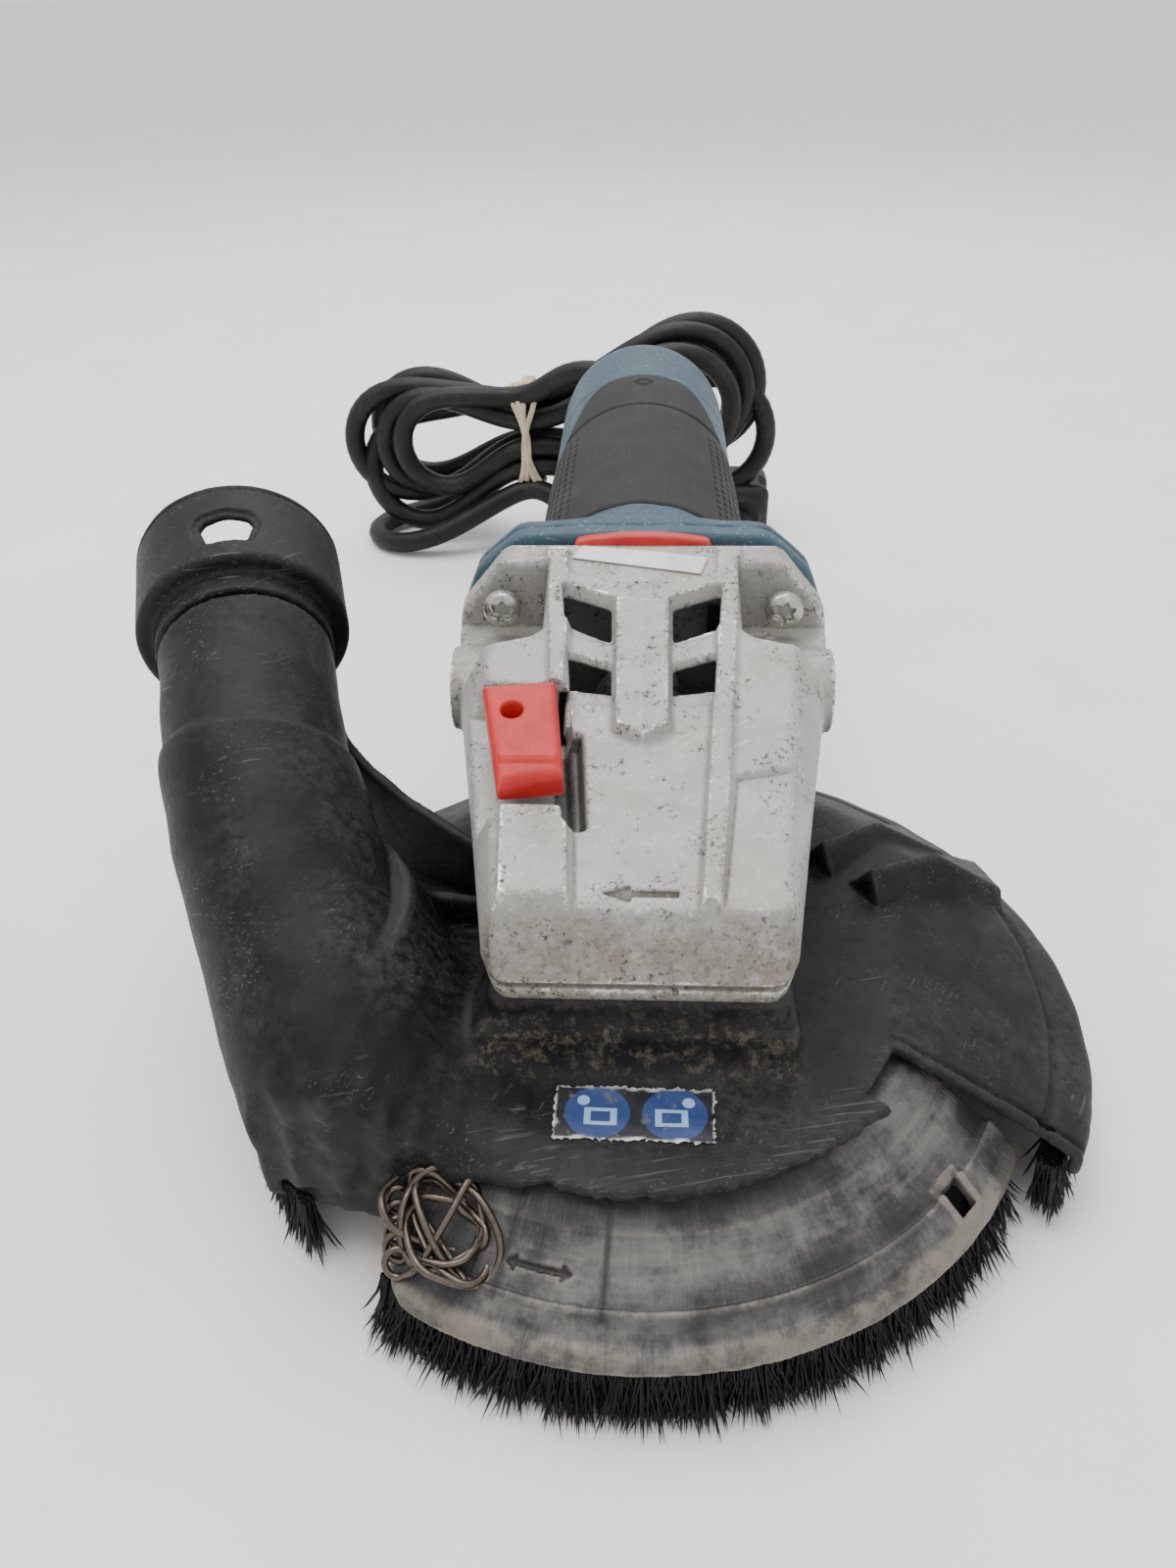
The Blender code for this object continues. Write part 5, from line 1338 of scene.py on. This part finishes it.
def segment_field():
    """The swinging plate: stepped, rounded at its left end, with a square hole and an arrow."""
    f, x, y, z = Field((-53, -87, 12), (79, -20, 33.5), 0.5)
    r, a = polar(x, y)
    top = np.interp(r, SEGMENT_R, SEGMENT_Z)
    d = (z - top) * 0.87
    d = smooth_max(d, -(d + 2.1), 0.3)
    d = smooth_max(d, 13.6 - z, 0.6)
    bead = np.hypot(r - 82.6, z - 16.4) - 1.9
    d = smooth_min(d, bead, 1.2)
    plan = smooth_max(r - 84.4, (-124.5 - a) * np.radians(1) * r, 11)
    plan = smooth_max(plan, (a + 26) * np.radians(1) * r, 5)
    d = smooth_max(d, np.maximum(plan, 55.5 - r), 1.0)
    sx, sy = (x - 59.7), (y + 51.7)
    c, s = math.cos(math.radians(-41)), math.sin(math.radians(-41))
    square = np.maximum(np.abs(sx * c + sy * s), np.abs(-sx * s + sy * c))
    f.d = d.astype(np.float32)
    f.add(np.maximum(square - 4.3, np.abs(z - top + 0.4) - 1.2), 0.6)
    f.cut(np.maximum(square - 2.5, 10 - z), 0.3)
    arrow = [(-14, 0), (-9.4, 3.1), (-9.4, 1.2), (-3, 1.2), (3, 1.2), (9.4, 1.2)]
    arrow += [(9.4, 3.1), (14, 0), (9.4, -3.1), (9.4, -1.2), (-9.4, -1.2), (-9.4, -3.1)]
    arrow = np.array(arrow) * 0.44
    across, out = (a - ARROW_ANGLE) * np.radians(1) * 72, r - ARROW_R
    f.cut(np.maximum(polygon_distance(across, out, arrow), top - 0.8 - z), 0.2)
    f.d += (0.07 * wavy(x, y, z, 6, 8)).astype(np.float32)
    return f


def segment_shade(x, y, z):
    """Darker toward the guard's edge, at the left end, and in smears near the rim."""
    r, a = polar(x, y)
    inner = np.clip((67.5 - r) / 5, 0, 0.75) * np.clip((-52 - a) / 12, 0.15, 1)
    left = np.clip((-109.5 - a) / 5, 0, 0.8)
    smear = 0.7 * unit(1.3 - np.abs(r - 77.5 + 0.06 * (a + 75)) / 3.2) * unit((a + 94) / 12)
    return largest(inner, left, smear * np.clip(1.4 + 0.9 * wavy(x, y, 0 * x, 26, 51), 0.2, 1))


def segment_yellow(x, y, z):
    """The rim is worn to a yellowish grey."""
    r = np.hypot(x, y)
    return np.clip((r - 81) / 2, 0, 0.7) * np.clip(1.1 + 0.8 * wavy(x, y, 0 * x, 22, 52), 0.3, 1)


def segment_ink(x, y, z):
    """Two dark scores that run out from the centre, and the arrow's paint."""
    r, a = polar(x, y)
    ink = np.zeros_like(x)
    for angle, strength in ((-94.2, 0.8), (-108.5, 0.55)):
        ink = np.maximum(ink, strength * unit(1.3 - np.abs(a - angle) * np.radians(1) * r / 0.7))
    arrow = (np.abs(a - ARROW_ANGLE) < 5.2) & (np.abs(r - ARROW_R) < 1.7)
    arrow &= z < np.interp(r, SEGMENT_R, SEGMENT_Z) - 0.45
    return np.maximum(ink, np.where(arrow, 0.9, 0)) * (r < 79)


SEGMENT_VALUES = {
    "radius": lambda x, y, z: polar(x, y)[0],
    "angle": lambda x, y, z: polar(x, y)[1],
    "shade": segment_shade,
    "yellow": segment_yellow,
    "ink": segment_ink,
}
segment = segment_field().mesh("guard_segment_plate", SEGMENT_VALUES)
fit_out(segment, SEGMENT, "guard_segment_body", "worn", ("guard_segment",))


def bristles(name, centre, roots, body, node, thick=0.34):
    """Thin tapering bristles from (angle, radius, top, tip height, outward lean, sideways lean) rows."""
    points, faces = [], []
    for angle, radius, top, tip, lean, sway in roots:
        out = np.array([math.cos(angle), math.sin(angle), 0])
        side = np.array([-math.sin(angle), math.cos(angle), 0])
        base = np.array([*centre, top]) + out * radius
        size = thick * RNG.uniform(0.8, 1.35)
        first = len(points)
        for share, width in ((0, 1.0), (0.45, 0.9), (0.8, 0.7)):
            middle = base + out * lean * share**1.6 + side * sway * share**1.5
            middle[2] = top + (tip - top) * share
            for corner in range(3):
                turn = corner * 2.0944
                points.append(middle + size * width * (out * math.cos(turn) + side * math.sin(turn)))
        end = base + out * lean + side * sway
        end[2] = tip
        points.append(end)
        for ring in range(2):
            for corner in range(3):
                a, b = first + ring * 3 + corner, first + ring * 3 + (corner + 1) % 3
                faces.append((a, b, b + 3))
                faces.append((a, b + 3, a + 3))
        for corner in range(3):
            faces.append((first + 6 + corner, first + 6 + (corner + 1) % 3, first + 9))
        faces.append((first + 2, first + 1, first))
    made = mesh_object(name, world(points), faces)
    return fit_out(made, BRISTLE, body, "bristle", (node,))


def segment_roots():
    """Bristles along the segment's rim, leaning out in uneven tufts."""
    rows = []
    for _ in range(3400):
        angle = math.radians(RNG.uniform(-124.5, -27.5))
        tuft = math.sin(angle * 160) * 0.5 + math.sin(angle * 47) * 0.6
        lean = RNG.normal(3.0 + 1.6 * tuft, 2.0)
        radius, tip = RNG.uniform(78.7, 81.6), abs(RNG.normal(0.3, 0.9))
        rows.append((angle, radius, 15.0, tip, lean, RNG.normal(0, 3.0)))
    return rows


def guard_roots():
    """Short bristles all round the guard, and a longer tuft at each end of the window."""
    rows = []
    for _ in range(3600):
        angle = math.radians(RNG.uniform(-27.5, 219.5))
        lean = RNG.normal(1.2, 1.4)
        radius, tip = RNG.uniform(85.8, 88.5), abs(RNG.normal(0.3, 0.7))
        rows.append((angle, radius, 16.0, tip, lean, RNG.normal(0, 2.2)))
    for start, end, count, tip in ((-29.5, -24.5, 260, 5.5), (206, 213.5, 240, 8.0)):
        for _ in range(count):
            angle = math.radians(RNG.uniform(start, end))
            lean, sway = RNG.normal(2.0, 1.5), RNG.normal(-1.5 if start < 0 else 1.6, 1.5)
            rows.append((angle, RNG.uniform(84, 88.5), 16.0, abs(RNG.normal(tip, 2.2)), lean, sway))
    return rows


bristles("segment_bristles", (0, 0), segment_roots(), "guard_segment_body", "segment_brush")
bristles("guard_bristles", GUARD_CENTRE, guard_roots(), "housing", "guard_brush")


def wire_repair():
    """Rusty wire wound through the broken end of the segment: wide loops, then a twist, then one long end."""
    draw = np.random.default_rng(21)
    middle = np.array((-34.5, -64.0, 26.0))
    long_way, short_way = np.array((0.78, -0.55, -0.3)), np.array((0.5, 0.78, 0.38))
    up = np.array((0.03, -0.45, 0.89))
    points = []
    for step in range(6 * 16):
        turn = step / 16
        angle = turn * 2 * math.pi
        reach, width = 9.0 + 2.2 * math.sin(turn * 2.7), 6.2 + 2.4 * math.sin(turn * 3.9 + 1)
        tilt = 0.35 * math.sin(turn * 1.9)
        u, v = reach * math.cos(angle), width * math.sin(angle)
        c, s = math.cos(tilt), math.sin(tilt)
        flat = (u * c - v * s) * long_way + (u * s + v * c) * short_way
        lift = 1.6 * math.sin(2 * angle + turn) + 0.35 * (turn - 3)
        points.append(middle + flat + lift * up + (1.5 * turn - 4) * 0.5 * long_way + draw.normal(0, 0.2, 3))
    start, end = np.array((-43.5, -58.5, 26.5)), np.array((-42.5, -70.0, 20.5))
    for step in range(5 * 10):
        share, angle = step / 50, step / 10 * 2 * math.pi
        ring = 1.9 * (math.cos(angle) * np.array((1, 0, 0)) + math.sin(angle) * np.array((0, 0.46, 0.89)))
        points.append(start + (end - start) * share + ring)
    points += [(-38, -70.5, 23), (-33, -64, 28.5), (-30, -58.5, 31.2), (-26.5, -55, 33.6), (-22, -54.5, 35.3)]
    return smooth_route(points, 0.9)


wire = curve_object("wire_repair", wire_repair(), 0.68)
fit_out(wire, RUSTY, "guard_segment_body", "steel")


# ---------------------------------------------------------------- sticker on the guard

STICKER = [(-15.4, -53.4), (13.8, -53.9), (14.3, -41.9), (-15.2, -41.5)]


def sticker_surface():
    """A dark label with two blue discs that each hold a pale abstract shape; its edges are chipped."""
    s = Shading("sticker_print")
    split = s.tree.nodes.new("ShaderNodeSeparateXYZ")
    s.link(s.place, split.inputs[0])
    x, y = split.outputs[0], split.outputs[1]
    discs, pale = None, None
    for cx, cy, side in ((-7.4, -47.5, -1), (6.8, -47.7, 1)):
        px, py, _ = world((cx, cy, 0))
        dx, dy = s.minus(x, px), s.minus(y, py)
        r = s.math("SQRT", s.plus(s.times(dx, dx), s.times(dy, dy)))
        disc = s.fit(r, 0.0061, 0.0059)
        ox, oy = s.plus(dx, 0.0006 * side), s.plus(dy, 0.0009)
        bar = s.larger(s.math("ABSOLUTE", ox), s.times(s.math("ABSOLUTE", oy), 1.5))
        shape = s.times(s.fit(bar, 0.0031, 0.0029), s.fit(bar, 0.0017, 0.0019))
        dot_x, dot_y = s.minus(dx, 0.0026 * side), s.minus(dy, 0.0028)
        dot = s.plus(s.times(dot_x, dot_x), s.times(dot_y, dot_y))
        shape = s.larger(shape, s.fit(dot, 1.5e-6, 1.2e-6))
        shape = s.times(shape, disc)
        discs = disc if discs is None else s.larger(discs, disc)
        pale = shape if pale is None else s.larger(pale, shape)
    fine = s.noise(0.8, 5, 0.75)
    colour = s.mix(discs, (0.0045, 0.006, 0.011), (0.016, 0.04, 0.145))
    colour = s.mix(pale, colour, (0.24, 0.37, 0.55))
    lost = s.patches(2.4, 5, 0.7, 0.6, 0.64)
    colour = s.mix(s.times(lost, 0.8), colour, (0.09, 0.09, 0.09))
    colour = s.mix(s.attribute("worn_edge"), colour, (0.62, 0.62, 0.6))
    return s.finish(colour, s.fit(fine, 0.3, 0.7, 0.35, 0.5), 0.0, s.bump(fine, 0.03))


def sticker():
    """The sticker laid on the guard, with its torn edge in the attribute "worn_edge"."""
    corners = [(x, y, 0) for x, y in STICKER]
    shape = {"rows": 26, "columns": 60, "ragged": 0.22, "height": guard_skin}
    made = patch("guard_sticker", corners, 0.35, sticker_surface(), "black", **shape)
    flat = spindle_points(made)
    inner = -polygon_distance(flat[:, 0], flat[:, 1], STICKER)
    worn = unit(0.9 - (inner + 0.4 * wavy(flat[:, 0], flat[:, 1], 0 * flat[:, 0], 3, 6)) / 0.35)
    set_attribute(made, "worn_edge", worn)


def skin_of(obj, low, high, step=0.5):
    """The height of an object's upper surface over a rectangle of the plan, as a grid."""
    seen = obj.evaluated_get(bpy.context.evaluated_depsgraph_get())
    xs, ys = np.arange(low[0], high[0], step), np.arange(low[1], high[1], step)
    heights = np.full((len(xs), len(ys)), 30.0)
    for i, x in enumerate(xs):
        for j, y in enumerate(ys):
            start = Vector(world((x, y, 60)))
            hit, place, _, _ = seen.ray_cast(start, Vector((0, 0, -1)))
            if hit:
                heights[i, j] = place.z / MM
    return xs, ys, heights


SKIN_X, SKIN_Y, SKIN_Z = skin_of(guard, (-20, -58), (19, -37))


def guard_skin(x, y):
    i, j = np.argmin(np.abs(SKIN_X - x)), np.argmin(np.abs(SKIN_Y - y))
    return float(SKIN_Z[i, j])


sticker()

# ---------------------------------------------------------------- motor housing, grip and cap


def motor_flange():
    """The motor housing's front: a rounded square that narrows to the round barrel."""
    f, x, y, z = Field((-45, 65.5, 42.5), (45, 92, 104), 0.6)
    flange = [(10, 96), (26.5, 95.3), (33.3, 89.5), (36.3, 82), (36.3, 58), (30, 52)]
    outline = flange + [(-a, b) for a, b in reversed(flange)]
    share = unit((y - 73.5) / 14)
    blend = share * share * (3 - 2 * share)
    square = polygon_distance(x, z, outline) - 7
    circle = np.hypot(x, z - 73) - 28.6
    d = square * (1 - blend) + circle * blend
    d = smooth_max(d, 66.35 - y, 1.6)
    d = smooth_max(d, y - 90, 0.4)
    d = smooth_max(d, -np.maximum(circle + 2.8 - 0.1 * np.maximum(85 - y, 0), 60 - y), 0.4)
    crown = np.maximum(np.abs(y - 71.2) - 0.35, -d - 0.7)
    f.d = (smooth_max(d, -crown, 0.5) + 0.1 * wavy(x, y, z, 9, 31)).astype(np.float32)
    f.cut(rod_distance(x, y, z, (0, 88.2, 73), (0, 95, 73), 40) + np.where(circle < -2.2, 50, 0), 0.0)
    return f.mesh("motor_housing_flange")


def tube_faces(rows, columns):
    """Faces of a tube's grid of points, whose columns close into a ring."""
    i, j = np.meshgrid(np.arange(rows), np.arange(columns), indexing="ij")
    a, b = i * columns + j, i * columns + (j + 1) % columns
    return np.stack([a, a + columns, b + columns, b], -1).reshape(-1, 4)


def turned_skin(name, start, end, outer, inner, grid, look, node, sharp=None):
    """A closed skin round the motor's axis.

    The ends are functions of the angle from the top, and the radii and edge values of Y, the angle round the
    axis, the angle from the top and the share of the length. An end or a radius may also be one number.
    """

    def at(value, *args):
        return value(*args) if callable(value) else value + 0 * args[0]

    rows, columns = grid
    turns = np.linspace(0, 2 * math.pi, columns, endpoint=False)
    v, u = np.meshgrid(np.linspace(0, 1, rows + 1), turns, indexing="ij")
    off = np.abs((u - math.pi / 2 + math.pi) % (2 * math.pi) - math.pi)
    y = at(start, off) + (at(end, off) - at(start, off)) * v
    layers = []
    for radius in (at(outer, y, u, off, v), at(inner, y, u, off, v)):
        layers.append(np.stack([radius * np.cos(u), y, MOTOR_Z + radius * np.sin(u)], -1))
    points = np.concatenate([layer.reshape(-1, 3) for layer in layers])
    half = (rows + 1) * columns
    out = tube_faces(rows, columns)
    j = np.arange(columns)
    k = (j + 1) % columns
    front = np.stack([j, k, k + half, j + half], -1)
    base = rows * columns
    back = np.stack([base + k, base + j, base + j + half, base + k + half], -1)
    made = mesh_object(name, world(points), np.concatenate([out, out[:, ::-1] + half, front, back]))
    values = np.zeros((rows + 1, columns)) if sharp is None else sharp(y, u, off, v)
    set_attribute(made, "edge", np.concatenate([values.ravel(), values.ravel()]))
    return fit_out(made, *look, (node,))


SLEEVE_R, SLEEVE_PITCH, PIT_DEPTH = 29.05, 3.1, 0.7


def sleeve_end(off):
    """The sleeve's rear edge: straight across the top, then forward down the sides."""
    t = unit((np.degrees(off) - 57) / 33)
    return 171 - 22 * t * t * (3 - 2 * t)


def sleeve_radius(y, u, off, v):
    """Rows of small slanted dimples on both sides, and rounded ends."""
    arc = off * 28.8
    row = np.round(arc / SLEEVE_PITCH)
    shift = (y + row * 1.15) % 4.6 - 2.3
    across = arc - row * SLEEVE_PITCH
    dimple = np.exp(-(((shift / 1.05) ** 2 + (across / 0.75) ** 2) ** 2) * 1.2)
    zone = unit((np.degrees(off) - 40) / 5) * unit((150 - np.degrees(off)) / 5)
    zone = zone * unit((y - 92) / 3) * unit((sleeve_end(off) - 6 - y) / 3)
    edge = np.minimum(v, 1 - v) * 80
    return SLEEVE_R - PIT_DEPTH * dimple * zone - PIT_DEPTH * np.exp(-edge / 0.55)


def sleeve_pit_shade(y, u, off, v):
    """How deep a point lies in a dimple, as a negative edge value that the grip paints as shade."""
    return np.minimum(sleeve_radius(y, u, off, 0.5 + 0 * v) - SLEEVE_R, 0) / PIT_DEPTH


def barrel_radius(y, u, off, v):
    """Full where the sleeve leaves it bare, and thinner under the sleeve."""
    bare = y > sleeve_end(off) + 0.3
    return np.where(bare, 28.55, 26.9)


def panel_width(y):
    """Half angle of the top panel."""
    w = np.interp(y, (171.4, 192, 197, 200.5, 202.6, 203.6), (57.5, 43.5, 38.5, 32.5, 22, 8))
    return np.radians(w)


def top_panel():
    """The smooth panel behind the grip, with a small ring-shaped mark pressed into it."""
    rows, columns = 110, 120
    v, t = np.meshgrid(np.linspace(0, 1, rows + 1), np.linspace(-1, 1, columns + 1), indexing="ij")
    y = 171.45 + 32.1 * v
    angle = math.pi / 2 + t * panel_width(y)
    side = np.minimum((1 - np.abs(t)) * panel_width(y) * 29, np.minimum(v, 1 - v) * 32)
    radius = 29.15 - 0.55 * np.exp(-side / 0.5)
    mark = np.hypot((angle - math.pi / 2) * 29, (y - 194.5) * 0.9)
    pressed = np.exp(-(((mark - 2.5) / 0.6) ** 2))
    radius = radius - 0.6 * pressed
    tick = np.maximum(np.abs((angle - math.pi / 2) * 29) - 1.6, np.abs(y - 189.6) - 0.35)
    cut = unit(-tick / 0.2)
    radius = radius - 0.35 * cut
    outer, inner = (
        np.stack([r * np.cos(angle), y, MOTOR_Z + r * np.sin(angle)], -1) for r in (radius, radius * 0 + 28.2)
    )
    made = closed_sheet("smooth_top_panel", outer, inner)
    # The pressed ring and tick get negative edge values, painted as shade by the grip's material.
    set_attribute(made, "edge", np.concatenate([-0.9 * np.maximum(pressed, cut).ravel(), np.zeros(cut.size)]))
    fit_out(made, PANEL, "housing", "grip", ("top_panel",))


CAP_Y = (204.2, 205, 226, 238, 245.5, 250, 253, 255.2, 256.8)
CAP_R = (28.3, 28.6, 28.7, 28.6, 28.0, 26.6, 24.2, 20.6, 15.5)


def cap_outer(y, u, off, v):
    return np.interp(y, CAP_Y, CAP_R) + 0.05 * np.sin(5 * u + y / 3)


def cap_inner(y, u, off, v):
    return np.interp(y, (204, 250, 256.9), (25.6, 20, 9.0))


fit_out(motor_flange(), BLUE, "housing", "blue", ("motor_housing",))
BLUE_SHELL, GRIP_SHELL = (BLUE, "housing", "blue"), (GRIP, "housing", "grip")
turned_skin("motor_barrel", 88.0, 203.9, barrel_radius, 25.5, (232, 180), BLUE_SHELL, "motor_housing")
sleeve_shape = (88.3, sleeve_end, sleeve_radius, 27.1, (200, 330))
turned_skin("grip_sleeve_dimpled", *sleeve_shape, GRIP_SHELL, "grip_sleeve", sleeve_pit_shade)
turned_skin("rear_cap_shell", 204.2, 256.8, cap_outer, cap_inner, (90, 120), BLUE_SHELL, "rear_cap")
top_panel()

# ---------------------------------------------------------------- strain relief, plug and bands


def strain_relief():
    """A tapered rubber boot with rings, on the cord's first few centimetres."""
    line = smooth_route(LEAD, 0.55)
    far = np.concatenate([[0], np.cumsum(np.linalg.norm(np.diff(line, axis=0), axis=1))])
    line = np.concatenate([[(0, 250.5, 73), (0, 253, 73), (0, 255.5, 73)], line[far < 29.5]])
    far = np.concatenate([[0], np.cumsum(np.linalg.norm(np.diff(line, axis=0), axis=1))])
    points, steps = [], 28
    for place, s in zip(line, far):
        i = min(np.searchsorted(far, s), len(line) - 2)
        way = line[i + 1] - line[i]
        way /= np.linalg.norm(way)
        side = np.cross(way, (0, 0, 1.0))
        side /= np.linalg.norm(side)
        up = np.cross(side, way)
        radius = 7.8 - 2.5 * s / far[-1] - (0.55 if s > 10 and (s % 3.6) < 1.25 else 0)
        for k in range(steps):
            a = 2 * math.pi * k / steps
            points.append(place + radius * (math.cos(a) * side + math.sin(a) * up))
    faces = np.roll(tube_faces(len(line) - 1, steps)[:, ::-1], 1, axis=1)
    made = mesh_object("strain_relief_boot", world(points), faces)
    bm = bmesh.new()
    bm.from_mesh(made.data)
    bmesh.ops.holes_fill(bm, edges=[e for e in bm.edges if e.is_boundary], sides=0)
    bmesh.ops.recalc_face_normals(bm, faces=bm.faces)
    bm.to_mesh(made.data)
    bm.free()
    return fit_out(made, BLACK, "housing", "cord", ("strain_relief",))


def plug_body():
    """The moulded plug, with a waist, grip lines and a neck for the cord."""
    f, x, y, z = Field((29, 299, -0.5), (58, 337, 29), 0.5)
    waist = 1.6 * np.exp(-(((y - 313) / 5.0) ** 2))
    d = box_distance(x, y, z, (31.2, 303, 0.6), (55.8, 334.6, 27.4), 5.0) + waist
    neck = rod_distance(x, y, z, (43.5, 301.0, 14), (43.5, 310, 14), 7.5)
    d = smooth_min(d, neck, 3.0)
    for k in range(5):
        line = np.maximum(np.abs(y - 308.5 - 2.4 * k) - 0.45, -d - 0.55)
        d = smooth_max(d, -np.maximum(line, 8 - np.abs(x - 43.5)), 0.3)
    f.d = d.astype(np.float32)
    return fit_out(f.mesh("plug_body"), BLACK, "housing", "cord", ("cord_plug",))


# Each strand's X at the front's foot, at the front's top, and at the back.
STRANDS = ((-44.0, -55.0, -48), (-48.8, -49.4, -46.5), (-53.4, -45.4, -50), (-46.2, -52.4, -48.6))


def bands():
    """Four twisted strands of one elastic band round the hank's waist."""
    strands = []
    for number, (front_low, front_high, back) in enumerate(STRANDS, 1):
        points = []
        for share in np.linspace(0, 1, 72, endpoint=False):
            a = 2 * math.pi * share
            c, s = math.cos(a), math.sin(a)
            y = 315 + 14.6 * np.sign(c) * abs(c) ** 0.45
            z = 48.2 + 20.6 * np.sign(s) * abs(s) ** 0.45
            high = (z - 27.6) / 41.2
            front = front_low + (front_high - front_low) * high + 0.8 * math.sin(high * 9 + number * 2)
            x = front if c < 0 else back + (front_high - back) * high * 0.4
            points.append((x, y - (0.25 * number if c < 0 else 0), z))
        strand = curve_object(f"rubber_band_{number}", smooth_route(points + points[:1], 1.6)[:-1], 1.2, True)
        strands.append(fit_out(strand, BAND, "housing", "band", ("rubber_band",)))
    return strands


boot = strain_relief()
plug = plug_body()
band_strands = bands()

# ---------------------------------------------------------------- wheel


def cup_wheel():
    """The diamond cup wheel: a turned steel body and a double row of ground segments."""
    profile = [(11.2, 22), (30, 22), (41, 20), (52, 15.8), (58, 12.5), (62.3, 10), (62.4, 5.2)]
    profile += [(44.2, 5.2), (44, 8), (36, 14), (29, 17.7), (11.2, 17.7)]
    f, x, y, z = Field((-63.5, -63.5, 1), (63.5, 63.5, 23), 0.72)
    r, a = np.hypot(x, y), np.arctan2(y, x)
    d = polygon_distance(r, z, profile)
    for k in range(6):
        cx, cy = 36 * math.cos(k * math.pi / 3), 36 * math.sin(k * math.pi / 3)
        d = np.maximum(d, 3.2 - np.hypot(x - cx, y - cy))
    for inner, outer, shift in ((44.3, 52.4, 0.0), (53.6, 62.3, 0.5)):
        turn = (a / (2 * math.pi) * 12 + shift) % 1 - 0.5
        arc = (np.abs(turn) - 0.42) * 2 * math.pi / 12 * r
        tooth = largest(np.abs(r - (inner + outer) / 2) - (outer - inner) / 2, 1.9 - z, z - 6)
        d = np.minimum(d, smooth_max(tooth, arc, 0.5))
    f.d = (d + 0.05 * wavy(x, y, z, 5, 41)).astype(np.float32)
    return fit_out(f.mesh("diamond_cup"), STEEL, "wheel_spindle", "steel", ("cup_wheel",))


cup_wheel()

# ---------------------------------------------------------------- materials of the CAD nodes that stay

NODE_SURFACES = (
    (STEEL, "spindle backing_flange clamp_nut crown_gear pinion armature_shaft lock_pin"),
    (STEEL, "armature_bearing_front armature_bearing_rear spindle_bearing_upper spindle_bearing_lower"),
    (IRON, "armature_core stator_core"),
    (COPPER, "armature_winding_front armature_winding_rear commutator field_coil_front field_coil_rear"),
    (BRASS, "brush_holder_left brush_holder_right plug_blade_left plug_blade_right"),
    (CARBON, "carbon_brush_left carbon_brush_right"),
    (BLACK, "cooling_fan switch_rod switch_module slide_switch"),
    (ZINC, "guard_clamp_band guard_clamp_screw lock_spring"),
    (CAST_PAINT, "bearing_flange"),
)
for surface, names in NODE_SURFACES:
    for name in names.split():
        node = bpy.data.objects[name]
        for place in node.material_slots:
            place.material = surface

# ---------------------------------------------------------------- stage


def stage():
    """A pale floor under soft light."""
    far = 60  # metres
    corners = [(-far, -far, 0), (far, -far, 0), (far, far, 0), (-far, far, 0)]
    floor = mesh_object("floor", corners, [(0, 1, 2, 3)], False)
    s = Shading("pale_floor")
    grain = s.noise(60, 3, 0.5)
    colour = s.mix(s.fit(grain, 0.3, 0.7), (0.87, 0.845, 0.82), (0.90, 0.88, 0.86))
    floor.data.materials.append(s.finish(colour, 0.55))
    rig.stage(floor)
    lights = (
        ("key", (-0.3, 0.05, 1.3), 1.1, 15, (1.0, 0.985, 0.96)),
        ("front", (0.6, -1.3, 1.0), 1.0, 3, (1.0, 0.98, 0.96)),
        ("rear", (0.1, 0.9, 1.1), 1.0, 7, (0.97, 0.98, 1.0)),
    )
    for name, place, size, power, colour in lights:
        data = bpy.data.lights.new(name, "AREA")
        data.shape, data.size, data.energy, data.color = "DISK", size, power, colour
        light = bpy.data.objects.new(name, data)
        light.location = place
        aim = Vector((0, 0, 0.05)) - light.location
        light.rotation_euler = aim.to_track_quat("-Z", "Y").to_euler()
        bpy.context.scene.collection.objects.link(light)
    sky = bpy.data.worlds.new("sky")
    sky.use_nodes = True
    sky.node_tree.nodes["Background"].inputs["Color"].default_value = (0.93, 0.935, 0.95, 1)
    sky.node_tree.nodes["Background"].inputs["Strength"].default_value = 1.2
    bpy.context.scene.world = sky


stage()
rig.cord(
    cord,
    exit=tuple(world(LEAD[0])),
    length=CORD_LENGTH * MM,
    diameter=CORD_D * MM,
    far_end="plug",
    stiffness="medium",
    lay="coiled",
    with_pieces=[boot, plug, *band_strands, "plug_blade_left", "plug_blade_right"],
)
with open("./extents.json", "w") as file:
    json.dump({"cad": CAD_BOX, "visual": [list(corner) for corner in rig.bounds()]}, file)
